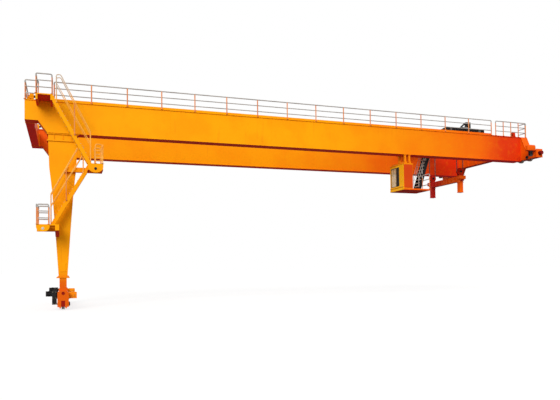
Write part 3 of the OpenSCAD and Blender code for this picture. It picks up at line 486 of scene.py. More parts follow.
def slide(x=0.0, y=0.0, z=0.0):
    return (bpy.ops.transform.translate, {"value": (x, y, z)})


def squeeze(x=1.0, y=1.0, z=1.0):
    return (bpy.ops.transform.resize, {"value": (x, y, z)})


def raised(rim, axis, rise, shrink=0.9):
    """The steps of a tapered boss, or of a dish where the rise points inward."""
    moves = [rise if letter == axis else 0.0 for letter in "xyz"]
    sizes = [1.0 if letter == axis else shrink for letter in "xyz"]
    return inset(rim), push(*moves), squeeze(*sizes)


SPLIT = (bpy.ops.mesh.subdivide, {"number_cuts": 1})


def soften(piece, width, segments=2, angle=38):
    """Rounds the edges with a bevel and applies it."""
    take(piece)
    made = piece.modifiers.new("Edges", "BEVEL")
    made.width = width
    made.segments = segments
    made.limit_method = "ANGLE"
    made.angle_limit = math.radians(angle)
    bpy.ops.object.modifier_apply(modifier=made.name)
    return piece


def smooth(piece, angle=35):
    take(piece)
    bpy.ops.object.shade_smooth_by_angle(angle=math.radians(angle))
    return piece


def plate(name, lo, hi, test, *steps, cut=None):
    """A block worked on some faces; cut is the rounding of its edges."""
    made = shape(block(name, lo, hi), test, *steps)
    return soften(made, *cut) if cut else made


def turned(name, mid, axis, radius, length, sides, test, *steps, cut=None):
    """A round bar worked on some faces and shaded smooth; cut is the rounding of its edges."""
    made = shape(bar(name, mid, axis, radius, length, sides), test, *steps)
    return smooth(soften(made, *cut) if cut else made)


def join(name, parts):
    clear()
    for part in parts:
        part.select_set(True)
    bpy.context.view_layer.objects.active = parts[0]
    if len(parts) > 1:
        bpy.ops.object.join()
    return label(parts[0], name)


def twin(piece, move):
    made = piece.copy()
    made.data = piece.data.copy()
    scene.collection.objects.link(made)
    made.data.transform(move)
    return made


def copies(piece, moves):
    """Copies a piece by each move, with its own mesh, and joins the copies."""
    name = piece.name
    parts = [twin(piece, move) for move in moves]
    bpy.data.objects.remove(piece)
    return join(name, parts)


def set_out(piece, places):
    return copies(piece, [Matrix.Translation(place) for place in places])


def turn_round(piece, centre, axis, count):
    there, back = Matrix.Translation(centre), Matrix.Translation(-Vector(centre))
    return copies(piece, [there @ Matrix.Rotation(2 * math.pi * k / count, 4, axis.upper()) @ back
                          for k in range(count)])


def dress(piece, finish):
    slot, material = FINISH[finish]
    piece.data.materials.clear()
    piece.data.materials.append(material)


def fit(piece, finish, body="crane", stands_for=()):
    """Paints a piece and lets it ride."""
    dress(piece, finish)
    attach(piece, body)
    if stands_for:
        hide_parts(*stands_for)
    return piece


def rounded(points, radius, steps=4):
    """The points of a bent tube, with its corners turned on a radius."""
    points = [Vector(p) for p in points]
    path = [points[0]]
    for before, corner, after in zip(points, points[1:], points[2:]):
        a = (before - corner).normalized()
        b = (after - corner).normalized()
        half = a.angle(b) / 2
        reach = min(radius / math.tan(half), (before - corner).length * 0.49, (after - corner).length * 0.49)
        start, end = corner + a * reach, corner + b * reach
        for k in range(steps + 1):
            t = k / steps
            path.append(start * (1 - t) ** 2 + corner * 2 * t * (1 - t) + end * t ** 2)
    path.append(points[-1])
    return path


def thread(name, path):
    """A bare line along a path: one vertex drawn out point by point."""
    clear()
    bpy.ops.mesh.primitive_plane_add(size=0.1, location=path[0])
    bpy.ops.object.mode_set(mode="EDIT")
    bpy.ops.mesh.select_mode(type="VERT")
    bpy.ops.mesh.select_all(action="SELECT")
    bpy.ops.mesh.merge(type="CENTER")
    for a, b in zip(path, path[1:]):
        bpy.ops.mesh.extrude_region_move(TRANSFORM_OT_translate={"value": b - a})
    bpy.ops.object.mode_set(mode="OBJECT")
    return settle(name)


def pipe(name, points, radius, bend=0.0, sides=2):
    """A tube along a path, with its corners turned on a bend."""
    thread(name, rounded(points, bend) if bend else [Vector(p) for p in points])
    bpy.ops.object.convert(target="CURVE")
    line = bpy.context.active_object.data
    line.bevel_depth = radius
    line.bevel_resolution = sides
    line.use_fill_caps = True
    bpy.ops.object.convert(target="MESH")
    return smooth(label(bpy.context.active_object, name), 50)


def bolt_head(name, size, side):
    """A tapered head on a washer at the origin, its washer face at zero, looking to a side."""
    head = bar(name, (0, 0, size * 0.12), "z", size * 0.75, size * 0.24, 12)
    shape(head, "+z", *raised(size * 0.22, "z", size * 0.5, 0.94))
    angle, axis = {"+x": (0.5, "Y"), "-x": (-0.5, "Y"), "+y": (-0.5, "X"), "-y": (0.5, "X"),
                   "+z": (0, "X"), "-z": (1, "X")}[side]
    head.data.transform(Matrix.Rotation(angle * math.pi, 4, axis))
    return head


def bolts(name, places, size, side, body="crane", finish="bolt"):
    return fit(set_out(bolt_head(name, size, side), places), finish, body)


def row(a, b, count):
    """Evenly spaced points or numbers from a to b."""
    return [a + (b - a) * k / (count - 1) for k in range(count)]


# --- handrails and stairs
def foot_plates(name, feet, size=0.13):
    half = size / 2
    one = plate(name, (-half, -half, 0), (half, half, 0.014), "+z", *raised(size * 0.3, "z", 0.03, 0.8))
    return set_out(one, feet)


def rail_panel(name, a, b, bays, height=RAIL, stout=0.024):
    """Posts on foot plates, a turned-down top tube and two tubes under it; returns tubes and posts."""
    a, b = Vector(a), Vector(b)
    high, turn = UP * (height - 0.03), UP * (height - 0.19)
    tubes = [pipe(name + "_top", [a + turn, a + high, b + high, b + turn], 0.034, 0.13)]
    for k in (1, 2):
        lift = UP * (height * k / 3 - 0.025)
        tubes.append(pipe(name + "_mid", [a + lift, b + lift], 0.028))
    feet = row(a, b, bays + 1)
    posts = []
    for k, foot in enumerate(feet):
        end = turn + UP * 0.01 if k in (0, bays) else high
        posts.append(pipe(name + "_post", [foot, foot + end], stout))
    return tubes, posts + [foot_plates(name + "_feet", feet)]


def handrails(node, panels, tube_finish="rail", post_finish="post"):
    """All panels of one handrail node as a tube piece and a post piece."""
    tubes, posts = [], []
    for k, panel in enumerate(panels):
        t, p = rail_panel("%s_%d" % (node, k), *panel)
        tubes += t
        posts += p
    fit(join(node + "_tubes", tubes), tube_finish, "crane", (node,))
    fit(join(node + "_posts", posts), post_finish)


def level(z, *spans):
    """Panels of one bay at a height, from x0, y0 to x1, y1."""
    return [((x0, y0, z), (x1, y1, z), 1) for x0, y0, x1, y1 in spans]


def all_handrails():
    y, start, end, tie = EDGE - POST, -1.905, BACK - POST, 10.78
    corner, inner = y - 0.06, 3.25
    leg_end = [((start, -3.175, tie), (start, 3.175, tie), 4, RAIL + TOP - tie)]
    runway_end = []
    for s, side in NAMED_SIDES:
        handrails(side + "_walk_rail", [((WALK_A, s * y, TOP), (WALK_B, s * y, TOP), 15, RAIL, 0.036)])
        leg_end += level(TOP, (start, s * y, start + 0.67, s * y), (start, s * corner, start, s * inner))
        runway_end.append(((29.1, s * y, TOP), (end, s * y, TOP), 4, RAIL, 0.032))
        runway_end += level(TOP, (end, s * corner, end, s * inner))
    handrails("leg_end_rail", leg_end)
    handrails("runway_end_rails", runway_end)
    a, b = LANE_OUT + POST, LANE_IN - POST
    handrails("head_platform_rail", level(
        TOP, (-1.305, a, -0.525, a), (-1.305, -5.265, -1.305, -4.05), (-0.525, -4.82, -0.525, -4.05)))
    handrails("mid_landing_rail", level(
        UPPER_B[1], (1.65, a, 1.965, a), (1.65, b, 1.965, b), (2.025, a, 2.025, b)), "flight", "flight")
    handrails("lower_platform_rail", level(
        LOWER_B[1], (-1.225, a, -0.7, a), (-1.225, b, -0.7, b), (-1.285, a, -1.285, b)))
    handrails("cab_porch_rail", level(CAB_LO.z, (23.425, -4.075, 23.425, -3.215)))


def flight_rail(node, a, b, sides):
    """Sloping handrails whose top tubes turn over in a round loop at the head and down to the stringer."""
    tubes, posts = [], []
    a, b = Vector((a[0], 0, a[1])), Vector((b[0], 0, b[1]))
    along = (b - a) / abs(b.x - a.x)
    head, foot = a + along * (FLIGHT - RAIL) / abs(along.z), b - along * 0.05
    ahead = Vector((along.x, 0, 0))
    high = UP * (FLIGHT - 0.025)
    low = high * 0.6
    for y in sides:
        shift = Vector((0, y, 0))
        leg = head - along * 0.1 + shift
        top = head + high - ahead * 0.1 + shift
        end = foot + shift
        mid = (head + foot) / 2 + shift
        tubes.append(pipe(node + "_top", [leg - high * 0.06, top, top + ahead * 0.22, end + high, end],
                          0.026, 0.11))
        tubes.append(pipe(node + "_mid", [leg + low * 1.02, end + low], 0.02))
        posts.append(pipe(node + "_post", [mid - high * 0.08, mid + high], 0.026))
        posts.append(foot_plates(node + "_clamp", [mid - high * 0.04], 0.1))
    fit(join(node + "_tubes", tubes), "flight", "crane", (node,))
    fit(join(node + "_posts", posts), "post")


def grating_tread(name, y0, y1):
    """One open tread: a nosing, a back bar and bearing bars, around the origin in X and Z."""
    front, back, thick, thin, count = -0.11, 0.11, 0.035, 0.004, 11
    lip = (inset(0.001), push(z=0.001))
    parts = [soften(block(name + "_nosing", (front, y0, -thick), (front + 0.03, y1, 0)), 0.004, 1),
             soften(block(name + "_back", (back - 0.012, y0, -thick), (back, y1, 0)), 0.003, 1)]
    one = plate(name + "_bar", (front, -thin, -thick * 0.9), (back, thin, -0.002), "+z", *lip)
    parts.append(set_out(one, [(0, y0 + (y1 - y0) * (k + 0.5) / count, 0) for k in range(count)]))
    cross = plate(name + "_cross", (-thin, y0, -0.012), (thin, y1, -0.001), "+z", *lip)
    parts.append(set_out(cross, [(x, 0, 0) for x in (-0.04, 0.02, 0.07)]))
    return join(name, parts)


def flight_treads(node, a, b, y0, y1):
    a, b = Vector((a[0], 0, a[1])), Vector((b[0], 0, b[1]))
    steps = int(abs(b.z - a.z) / RISER)
    places = [place - UP * 0.4 / 3 for place in row(a, b, steps + 1)[1:-1]]
    fit(set_out(grating_tread(node + "_grating", y0 + 0.04, y1 - 0.04), places), "tread", "crane", (node,))


def cab_stair_back():
    """Dark sheet behind the treads of the steep stair, with a turned edge."""
    low, high = 7.14, 10.95
    lean = (CAB_A[0] - CAB_B[0]) / (CAB_A[1] - CAB_B[1])
    x = CAB_B[0] + lean * (low - CAB_B[1]) + 0.13
    sheet = plate("cab_stair_back_sheet", (x, -3.12, low), (x + 0.006, -2.53, high),
                  "+z", slide(x=lean * (high - low)))
    fit(shape(sheet, lambda c, n: n.x < -0.5, inset(0.04), inset(0.01, -0.002)), "black")


def cab_stair_rails():
    """Handrails along the lower half of the steep stair."""
    tubes = []
    a, b = Vector((CAB_A[0], 0, CAB_A[1])), Vector((CAB_B[0], 0, CAB_B[1]))
    lift = UP * 0.86
    for y in (-3.145, -2.505):
        shift = Vector((0, y, 0))
        head, foot = b + (a - b) * 0.52 + shift, b + (a - b) * 0.06 + shift
        mid = (head + foot) / 2
        tubes += [pipe("cab_stair_rail", [foot, foot + lift, head + lift * 0.8, head], 0.019, 0.1),
                  pipe("cab_stair_post", [mid, mid + lift * 0.88], 0.017),
                  pipe("cab_stair_mid", [foot + lift * 0.5, head + lift * 0.42], 0.015)]
    fit(join("cab_stair_rail_tubes", tubes), "rail")


all_handrails()
FLIGHTS = (("upper_stair", UPPER_A, UPPER_B, LANE_OUT), ("lower_stair", LOWER_A, LOWER_B, LANE_IN - LANE))
for flight, upper, lower, lane in FLIGHTS:
    flight_rail(flight + "_rails", upper, lower, (lane - POST, lane + LANE + POST))
for flight, upper, lower, lane in FLIGHTS:
    flight_treads(flight + "_treads", upper, lower, lane, lane + LANE)
flight_treads("cab_stair_treads", CAB_A, CAB_B, -3.165, -2.485)
cab_stair_back()


# --- motors and gearboxes
def finned_motor(name, start, axis, length, radius):
    """A motor that points along an axis, with cooling fins, end shields, a fan cowl and a flange."""
    way = Vector([float(letter == axis) for letter in "xyz"])

    def at(share):
        return Vector(start) + way * length * share

    body = turned(name, at(0.5), axis, radius * 0.84, length * 0.98, 48, axis,
                  inset(radius * 0.1), inset(radius * 0.12, -0.012), inset(radius * 0.25))
    fin = plate(name + "_fin", (0, -0.005, radius * 0.8), (length * 0.62, 0.005, radius),
                "+z", squeeze(0.94, 0.5, 1))
    angle, about = {"x": (0, "Z"), "y": (0.5, "Z"), "z": (-0.5, "Y")}[axis]
    fin.data.transform(Matrix.Translation(at(0.26)) @ Matrix.Rotation(angle * math.pi, 4, about))
    fins = turn_round(fin, at(0.26), axis, 28)
    cowl = turned(name + "_cowl", at(0.12), axis, radius * 0.97, length * 0.24, 40, "-" + axis,
                  inset(radius * 0.12), inset(radius * 0.12, -0.015), inset(radius * 0.14), push(*(way * -0.012)))
    flange = turned(name + "_flange", at(0.95), axis, radius, length * 0.09, 40, "-" + axis,
                    inset(radius * 0.1, 0.012))
    return join(name, [body, fins, cowl, flange])


def cast_box(name, lo, hi, side, cut):
    """A cast box with rounded edges and a raised cover on one side."""
    small = min(Vector(hi) - Vector(lo))
    return plate(name, lo, hi, side, inset(small * 0.12), inset(small * 0.05, 0.02),
                 inset(small * 0.12, -0.008), cut=(cut, 3))


def ground_drives():
    parts, heads = [], []
    x, z = -0.33, 0.57
    for y in (NEAR, FAR):
        parts += [
            cast_box("drive_gear", (x - 0.24, y - 0.16, z - 0.59), (x, y + 0.16, z + 0.15), "-y", 0.025),
            plate("drive_link", (x, y - 0.14, z - 0.075), (-HOUSING, y + 0.14, z + 0.075),
                  "y", inset(0.01, -0.01)),
            finned_motor("drive_motor", (x - 0.56, y, z), "x", 0.32, 0.15),
            plate("drive_lid", (-0.74, y - 0.09, z + 0.1), (-0.6, y + 0.02, z + 0.15),
                  "+z", *raised(0.012, "z", 0.012), cut=(0.006, 2))]
        heads += [(bolt_x, y - 0.19, bolt_z) for bolt_x in (-0.53, -0.37) for bolt_z in (0.03, 0.35, 0.66)]
    fit(join("ground_drive_units", parts), "black", "crane", ("ground_drives",))
    bolts("ground_gear_bolts", heads, 0.026, "-y")


def brake_boxes():
    cases, handles = [], []
    z = 0.63
    for y in (NEAR, FAR):
        case = plate("brake_case", (HOUSING, y - 0.15, z - 0.33), (0.71, y + 0.15, z),
                     "-y", inset(0.03), inset(0.012, -0.012), inset(0.02, 0.01))
        shape(case, "+z", inset(0.02), push(z=0.02), squeeze(0.94, 0.9, 1))
        slat = plate("brake_slat", (0.36, y - 0.158, z - 0.25), (0.48, y - 0.148, z - 0.236),
                     "-y", slide(z=-0.008))
        cases += [soften(case, 0.012, 2), set_out(slat, [(0, 0, k * 0.03) for k in range(5)])]
        grip = [(0.6, y - out, z - down) for out, down in ((0.15, 0.22), (0.19, 0.22), (0.19, 0.1), (0.15, 0.1))]
        handles.append(pipe("brake_handle", grip, 0.008, 0.02))
    fit(join("brake_cases", cases), "brake", "crane", ("foot_brakes",))
    fit(join("brake_handles", handles), "steel")


def runway_drives():
    cases, motors = [], []
    x, z = REACH - 0.36, 9.8
    for s in SIDES:
        y = s * (NOSE - 0.16)
        case = block("runway_case", (x - 0.36, y - 0.16, z), (REACH, y + 0.16, z + 0.45))
        cases.append(soften(case, 0.1, 5, 60))
        motors.append(finned_motor("runway_motor", (x, y, z - 0.32), "z", 0.32, 0.15))
    cases = shape(join("runway_drive_cases", cases), lambda c, n: abs(n.y) > 0.98 and abs(c.y) > 5.4,
                  inset(0.04), inset(0.02, 0.012))
    fit(smooth(cases), "carriage", "crane", ("runway_drives",))
    fit(join("runway_drive_motors", motors), "black")


ground_drives()
brake_boxes()
runway_drives()


# --- feet, wheels and carriage
def bearing_cap(name, mid, way, radius):
    """A turned cap on an axle end, and its ring of screws; way is -1 or 1 along X."""
    mid, out, side = Vector(mid), Vector((way, 0, 0)), to("x", way)
    cap = turned(name, mid + out * 0.02, "x", radius, 0.04, 40, side,
                 *raised(radius * 0.3, "x", way * 0.03), inset(radius * 0.2), push(x=-way * 0.008), cut=(0.005, 2))
    head = bolt_head(name + "_screw", radius * 0.13, side)
    head.data.transform(Matrix.Translation(mid + out * 0.04 + UP * radius * 0.85))
    return cap, turn_round(head, mid, "x", 8)


def foot_details():
    """Axle caps, rail sweepers, grease plugs, and dark red sheets in the wheel slots that paint their shade."""
    caps, sweepers, plugs, slot_shades = [], [], [], []
    for y in (NEAR, FAR):
        caps.append(bearing_cap("foot_cap", (HOUSING, y, 0), 1, 0.13))
        for e in SIDES:
            face, out = y + e * 0.55, to("y", e)
            for x in (-0.15, 0.15):
                sweepers.append(plate(
                    "rail_sweeper", (x - 0.05, face, -0.13), (x + 0.05, face + e * 0.025, 0.1),
                    "-z", push(y=e * 0.02, z=-0.08), squeeze(0.7, 1, 1), cut=(0.006, 2)))
            plugs.append(turned("grease_plug", (0, face + e * 0.01, 0.6), "y", 0.085, 0.03, 28, out,
                                *raised(0.02, "y", -e * 0.008), cut=(0.005, 2)))
            # Dark red sheets in the slot mouths stand for the shade in the wheel slots: painted shade.
            slot_shades.append(plate("slot_shade_sheet", (-0.1, face, -0.13), (0.1, face + e * 0.012, 0.2),
                              out, inset(0.02), push(y=-e * 0.004)))
    fit(join("foot_side_plates", sweepers), "orange")
    fit(join("foot_plugs", plugs), "shade")
    fit(join("wheel_slot_shades", slot_shades), "shade")
    fit(join("foot_caps", [cap for cap, _ in caps]), "black")
    fit(join("foot_cap_screws", [ring for _, ring in caps]), "bolt")


def leg_details():
    """Saddle ribs, flange bolts and bolted inspection covers on the legs."""
    ribs, high, low, lids = [], [], [], []
    for y in (NEAR, FAR):
        for e in SIDES:
            high += [(x, y + e * 0.33, SADDLE) for x in row(-0.72, 0.72, 9)]
            low += [(x, y + e * 0.31, FOOT_PLATE) for x in (-0.29, -0.1, 0.1, 0.29)]
            ribs += [plate("saddle_rib", (x - 0.012, y + e * 0.3, SADDLE), (x + 0.012, y + e * 0.35, 9.28),
                           "x", inset(0.006, 0.002)) for x in (-0.45, 0.0, 0.45)]
    fit(join("leg_ribs", ribs), "orange")
    bolts("saddle_bolts", high, 0.034, "+z", finish="orange")
    bolts("foot_plate_bolts", low, 0.034, "+z", finish="orange")
    for s, side in NAMED_SIDES:
        web, out = s * (FAR + 0.3), to("y", s)
        face = web + s * 0.012
        lids.append(plate("leg_hatch", (-0.16, web, 1.75), (0.16, face, 2.25),
                          out, inset(0.025), inset(0.015, 0.006), cut=(0.02, 3, 80)))
        heads = [(x, face, z) for x in (-0.14, 0.14) for z in row(1.78, 2.22, 4)]
        bolts(side + "_hatch_bolts", heads, 0.018, out, finish="orange")
    fit(join("leg_hatches", lids), "orange")


def plate_pins():
    """Pins in the holes of the rounded side plates: black on the landing, which paints the shade in its hole, pale on
    the lower platform.
    """
    for name, x, z, finish in (("landing_pin", 1.65, 7.265, "black"), ("platform_pin", -0.98, 4.029, "tread")):
        fit(turned(name, (x, LANE_OUT + 0.015, z), "y", 0.075, 0.05, 28,
                   "-y", *raised(0.02, "y", -0.012, 0.85), cut=(0.004, 2)), finish)


def wheel_hubs():
    """Hub rings on the travel wheels, turning with them."""
    wheels = [(side + "_ground_wheel", Vector((0, s * FAR, 0)), 0.2) for s, side in NAMED_SIDES]
    wheels += [("%s_runway_wheel_%s" % (side, letter), Vector((AXLE_X, s * y, AXLE_Z)), 0.18)
               for s, side in NAMED_SIDES for letter, y in (("a", WHEEL_A), ("b", WHEEL_B))]
    for node, mid, radius in wheels:
        rings = [turned(node + "_hub", mid + Vector((way * 0.08, 0, 0)), "x", radius, 0.012, 32,
                        to("x", way), inset(radius * 0.16), push(x=-way * 0.006),
                        inset(radius * 0.3), push(x=way * 0.008)) for way in SIDES]
        fit(join(node + "_hub_rings", rings), "steel", node)


def carriage_details():
    """Axle caps, ribs, nose plates, shoulder strips and joint bolts of the end carriage."""
    caps, ribs, heads = [], [], []
    for s in SIDES:
        for y, way, x in ((WHEEL_A, -1, REACH), (WHEEL_A, 1, BACK), (WHEEL_B, 1, BACK)):
            caps.append(bearing_cap("carriage_cap", (x, s * y, AXLE_Z), way, 0.115))
        heads += [(BACK, s * y, z) for y in (3.2, 4.05) for z in row(9.5, 10.9, 8)]
        out = to("y", s)
        ribs.append(plate("nose_plate", (REACH - 0.02, s * NOSE, 9.38), (BACK + 0.02, s * (NOSE + 0.03), 9.98),
                          out, inset(0.05), inset(0.02, 0.006), cut=(0.006, 1)))
        ribs.append(plate("shoulder_strip", (REACH - 0.03, s * 4.07, 11.045), (BACK + 0.03, s * 4.55, 11.07),
                          out, slide(z=-1.09)))
    for y in (-2.7, -2.0, -1.0, 0.0, 1.0, 2.0, 2.7):
        ribs.append(plate("carriage_rib", (REACH - 0.015, y - 0.012, 10.0), (REACH, y + 0.012, 11.0),
                          "-x", push(x=-0.06), squeeze(1, 1, 0.96)))
    fit(join("carriage_ribs", ribs), "carriage")
    fit(join("carriage_caps", [cap for cap, _ in caps]), "black")
    fit(join("carriage_cap_screws", [ring for _, ring in caps]), "bolt")
    bolts("carriage_joint_bolts", heads, 0.034, "+x", finish="carriage")


def buffers():
    """Round buffers with two grooves, on base plates."""
    parts = []
    length, cuts = 0.28, 6
    for s in SIDES:
        out = to("y", s)
        cone = bar("buffer", (AXLE_X, s * (NOSE + length / 2), 9.68), "y", 0.13, length, 36)
        take(cone)
        bpy.ops.object.mode_set(mode="EDIT")
        for k in range(1, cuts):
            bpy.ops.mesh.select_all(action="SELECT")
            bpy.ops.mesh.bisect(plane_co=(0, s * (NOSE + length * k / cuts), 0), plane_no=(0, 1, 0))
        bpy.ops.object.mode_set(mode="OBJECT")
        for k in (1, 3):
            y = NOSE + length * (k + 0.5) / cuts
            shape(cone, lambda c, n: abs(n.y) < 0.3 and abs(abs(c.y) - y) < 0.02,
                  (bpy.ops.mesh.extrude_region_shrink_fatten, {"TRANSFORM_OT_shrink_fatten": {"value": -0.022}}))
        shape(cone, out, inset(0.03), push(y=-s * 0.012))
        parts += [smooth(cone, 40), plate("buffer_base", (31.4, s * NOSE, 9.53), (31.7, s * (NOSE + 0.03), 9.83),
                                          out, inset(0.02, 0.004))]
    fit(join("buffer_blocks", parts), "buffer", "crane", ("carriage_buffers",))


foot_details()
leg_details()
plate_pins()
wheel_hubs()
carriage_details()
buffers()


# --- girders and trolley track
def weld_seams():
    """Weld beads along the flanges and across the webs, where plates meet."""
    beads = []
    high, low = TOP - 0.04, UNDER + 0.04
    for y in (NEAR, FAR):
        for e in SIDES:
            face = y + e * 0.35
            for start, z in ((-1.9, high), (-0.78, low)):
                beads.append(pipe("flange_weld", [(start, face, z), (REACH, face, z)], 0.011, 0, 1))
            for x in (5.9, 12.1, 18.2, 24.4):
                beads.append(pipe("web_weld", [(x, face, low), (x, face, high)], 0.006, 0, 1))
    fit(join("girder_welds", beads), "orange")


def rail_clips():
    """Clips that hold the trolley rails, on both sides of each rail."""
    clip = plate("clip", (-0.05, 0.04, 0), (0.05, 0.13, 0.03), "-y", slide(z=0.012))
    shape(clip, "+z", *raised(0.02, "z", 0.025, 0.7))
    pair = join("rail_clip", [clip, twin(clip, Matrix.Rotation(math.pi, 4, "Z"))])
    fit(set_out(pair, [(-1.6 + 0.8 * k, y, TOP) for y in (NEAR, FAR) for k in range(41)]), "steel")


def deck_edges():
    """Toe plates along the outer edges of the girder walkways."""
    toes = [plate("toe_plate", (WALK_A, s * 3.985, TOP), (WALK_B, s * 3.993, TOP + 0.11),
                  "+z", push(z=0.012), squeeze(1, 0.6, 1)) for s in SIDES]
    fit(join("toe_plates", toes), "orange")


def stop_pads():
    """Rubber pads and stiffeners on the trolley end stops."""
    pads, fins = [], []
    for y in (NEAR, FAR):
        for x, way in ((-1.48, 1), (30.85, -1)):
            pads.append(turned("stop_pad", (x + way * 0.04, y, 11.35), "x", 0.07, 0.08, 24,
                               to("x", way), *raised(0.02, "x", way * 0.012, 0.8)))
            back = x - way * 0.2
            fins.append(plate("stop_fin", (back, y - 0.012, 11.2), (back - way * 0.14, y + 0.012, 11.48),
                              to("x", -way), squeeze(1, 1, 0.2), slide(z=-0.12)))
    fit(join("stop_pads", pads), "rubber")
    fit(join("stop_fins", fins), "orange")


def tie_joint():
    """Bolted joint plates between the tie beam and the overhangs."""
    plates = []
    for s, side in NAMED_SIDES:
        inward = to("y", -s)
        plates.append(plate("tie_plate", (-1.95, s * 3.195, 9.96), (-1.45, s * INNER, 10.82),
                            inward, inset(0.04, 0.006), cut=(0.005, 1)))
        heads = [(x, s * 3.19, z) for x in (-1.91, -1.49) for z in (10.05, 10.25, 10.45, 10.65)]
        bolts("tie_bolts_" + side, heads, 0.03, inward, finish="orange")
    fit(join("tie_joint_plates", plates), "orange")


weld_seams()
rail_clips()
deck_edges()
stop_pads()
tie_joint()


# --- cab
def cab_frames():
    """Rubber seals round the panes."""
    def seal(place, a, b, low):
        high = CAB_HI.z - 0.13
        corners = ((a, low), (b, low), (b, high), (a, high), (a, low - 0.001))
        return pipe("seal", [place(*corner) for corner in corners], 0.014, 0.03)

    seals = [seal(lambda y, z: (CAB_LO.x - 0.004, y, z), y0, y1, CAB_LO.z + 0.22)
             for y0, y1 in ((-3.5, -3.2), (-3.14, -2.48))]
    seals.append(seal(lambda x, z: (x, CAB_HI.y + 0.004, z), CAB_LO.x + 0.13, CAB_HI.x - 0.13, CAB_LO.z + 0.7))
    fit(join("cab_window_seals", seals), "rubber")


def cab_sheets():
    """Pressed side sheet on the closed wall, and a pale lining inside."""
    lo, hi = CAB_LO, CAB_HI
    sheet = plate("cab_side_sheet", (lo.x + 0.01, lo.y - 0.008, lo.z + 0.02), (hi.x - 0.01, lo.y, hi.z - 0.02),
                  "-y", inset(0.05), inset(0.02, 0.006), SPLIT, cut=(0.003, 1))
    fit(sheet, "side")
    floor, top = 7.07, 8.62
    linings = [plate("cab_lining", a, b, axis, inset(0.04, 0, True), inset(0.01, 0.002, True)) for a, b, axis in (
        ((21.47, -4.04, floor), (22.03, -4.03, top), "y"), ((22.025, -4.03, floor), (22.035, -3.6, top), "x"),
        ((22.025, -2.85, floor), (22.035, -2.42, top), "x"), ((21.47, -2.42, floor), (22.03, -2.41, 7.74), "y"))]
    fit(join("cab_linings", linings), "cream")


def cab_roof_top():
    """Roof with a rolled rim and pressed ribs."""
    lo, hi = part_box("cab_roof")
    top = plate("cab_roof_sheet", lo, hi, "+z", inset(0.05), push(z=-0.02), inset(0.04), cut=(0.012, 2))
    rib = plate("roof_rib", (lo[0] + 0.12, -0.03, hi[2] - 0.02), (hi[0] - 0.12, 0.03, hi[2] - 0.004),
                "+z", squeeze(0.96, 0.6, 1))
    ribs = set_out(rib, [(0, y, 0) for y in (-3.75, -3.45, -2.95, -2.65)])
    fit(join("cab_roof_sheet", [top, ribs]), "orange", "crane", ("cab_roof",))


def cab_door_leaf():
    """Door leaf with pressed panels, hinges and a handle."""
    lo, hi = (Vector(v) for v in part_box("cab_door"))
    leaf = plate("cab_door_leaf", lo, hi, "+x", SPLIT)
    shape(leaf, "+x", inset(0.06, 0, True), inset(0.012, -0.012, True))
    shape(leaf, "-x", inset(0.06), inset(0.012, -0.01))
    fit(soften(leaf, 0.006, 1), "cab", "crane", ("cab_door",))
    parts = [shape(bar("door_hinge", (hi.x + 0.014, lo.y + 0.01, z), "z", 0.014, 0.1, 16),
                   "z", inset(0.004, 0.004)) for z in (lo.z + 0.2, lo.z + 0.75, hi.z - 0.2)]
    grip = [(hi.x + out, hi.y - 0.09, lo.z + up) for out, up in
            ((-0.01, 0.78), (0.05, 0.78), (0.05, 1.0), (-0.01, 1.0))]
    parts.append(pipe("door_handle", grip, 0.011, 0.03))
    fit(join("cab_door_fittings", parts), "steel")


def cab_inside():
    """Seat, and two desks with levers, seen through the panes."""
    x, y, z = 21.8, -3.2, 7.05
    base = shape(bar("seat_base", (x, y, z + 0.2), "z", 0.2, 0.4, 28), "+z", inset(0.1), push(z=0.03))
    fit(smooth(shape(base, "-z", squeeze(1.25, 1.25, 1))), "black")
    pad = plate("seat_pad", (x - 0.24, y - 0.25, z + 0.42), (x + 0.24, y + 0.25, z + 0.54), "+z", inset(0.05, 0.03))
    back = plate("seat_back", (x + 0.17, y - 0.24, z + 0.52), (x + 0.27, y + 0.24, z + 1.2),
                 "+z", slide(x=0.06), squeeze(1, 0.8, 1))
    shape(back, "-x", inset(0.05, 0.03))
    fit(join("operator_seat", [smooth(soften(part, 0.03, 3), 60) for part in (pad, back)]), "cloth")
    desks, levers = [], []
    for s in SIDES:
        desk = plate("control_desk", (x - 0.35, y + s * 0.38, z), (x + 0.1, y + s * 0.62, z + 0.72),
                     "+z", inset(0.02), inset(0.012, -0.008))
        shape(desk, "-x", squeeze(1, 0.85, 0.9), slide(z=-0.04))
        desks.append(soften(desk, 0.01, 2))
        mid, tip = y + s * 0.5, x - 0.22
        levers.append(pipe("lever", [(x - 0.2, mid, z + 0.7), (tip, mid, z + 0.86), (tip, mid, z + 0.9)], 0.009, 0.02))
        knob = bar("lever_knob", (tip, mid, z + 0.91), "z", 0.024, 0.05, 16)
        levers.append(smooth(shape(knob, "z", inset(0.008, 0.008)), 60))
    fit(join("control_desks", desks), "cream")
    fit(join("control_levers", levers), "black")


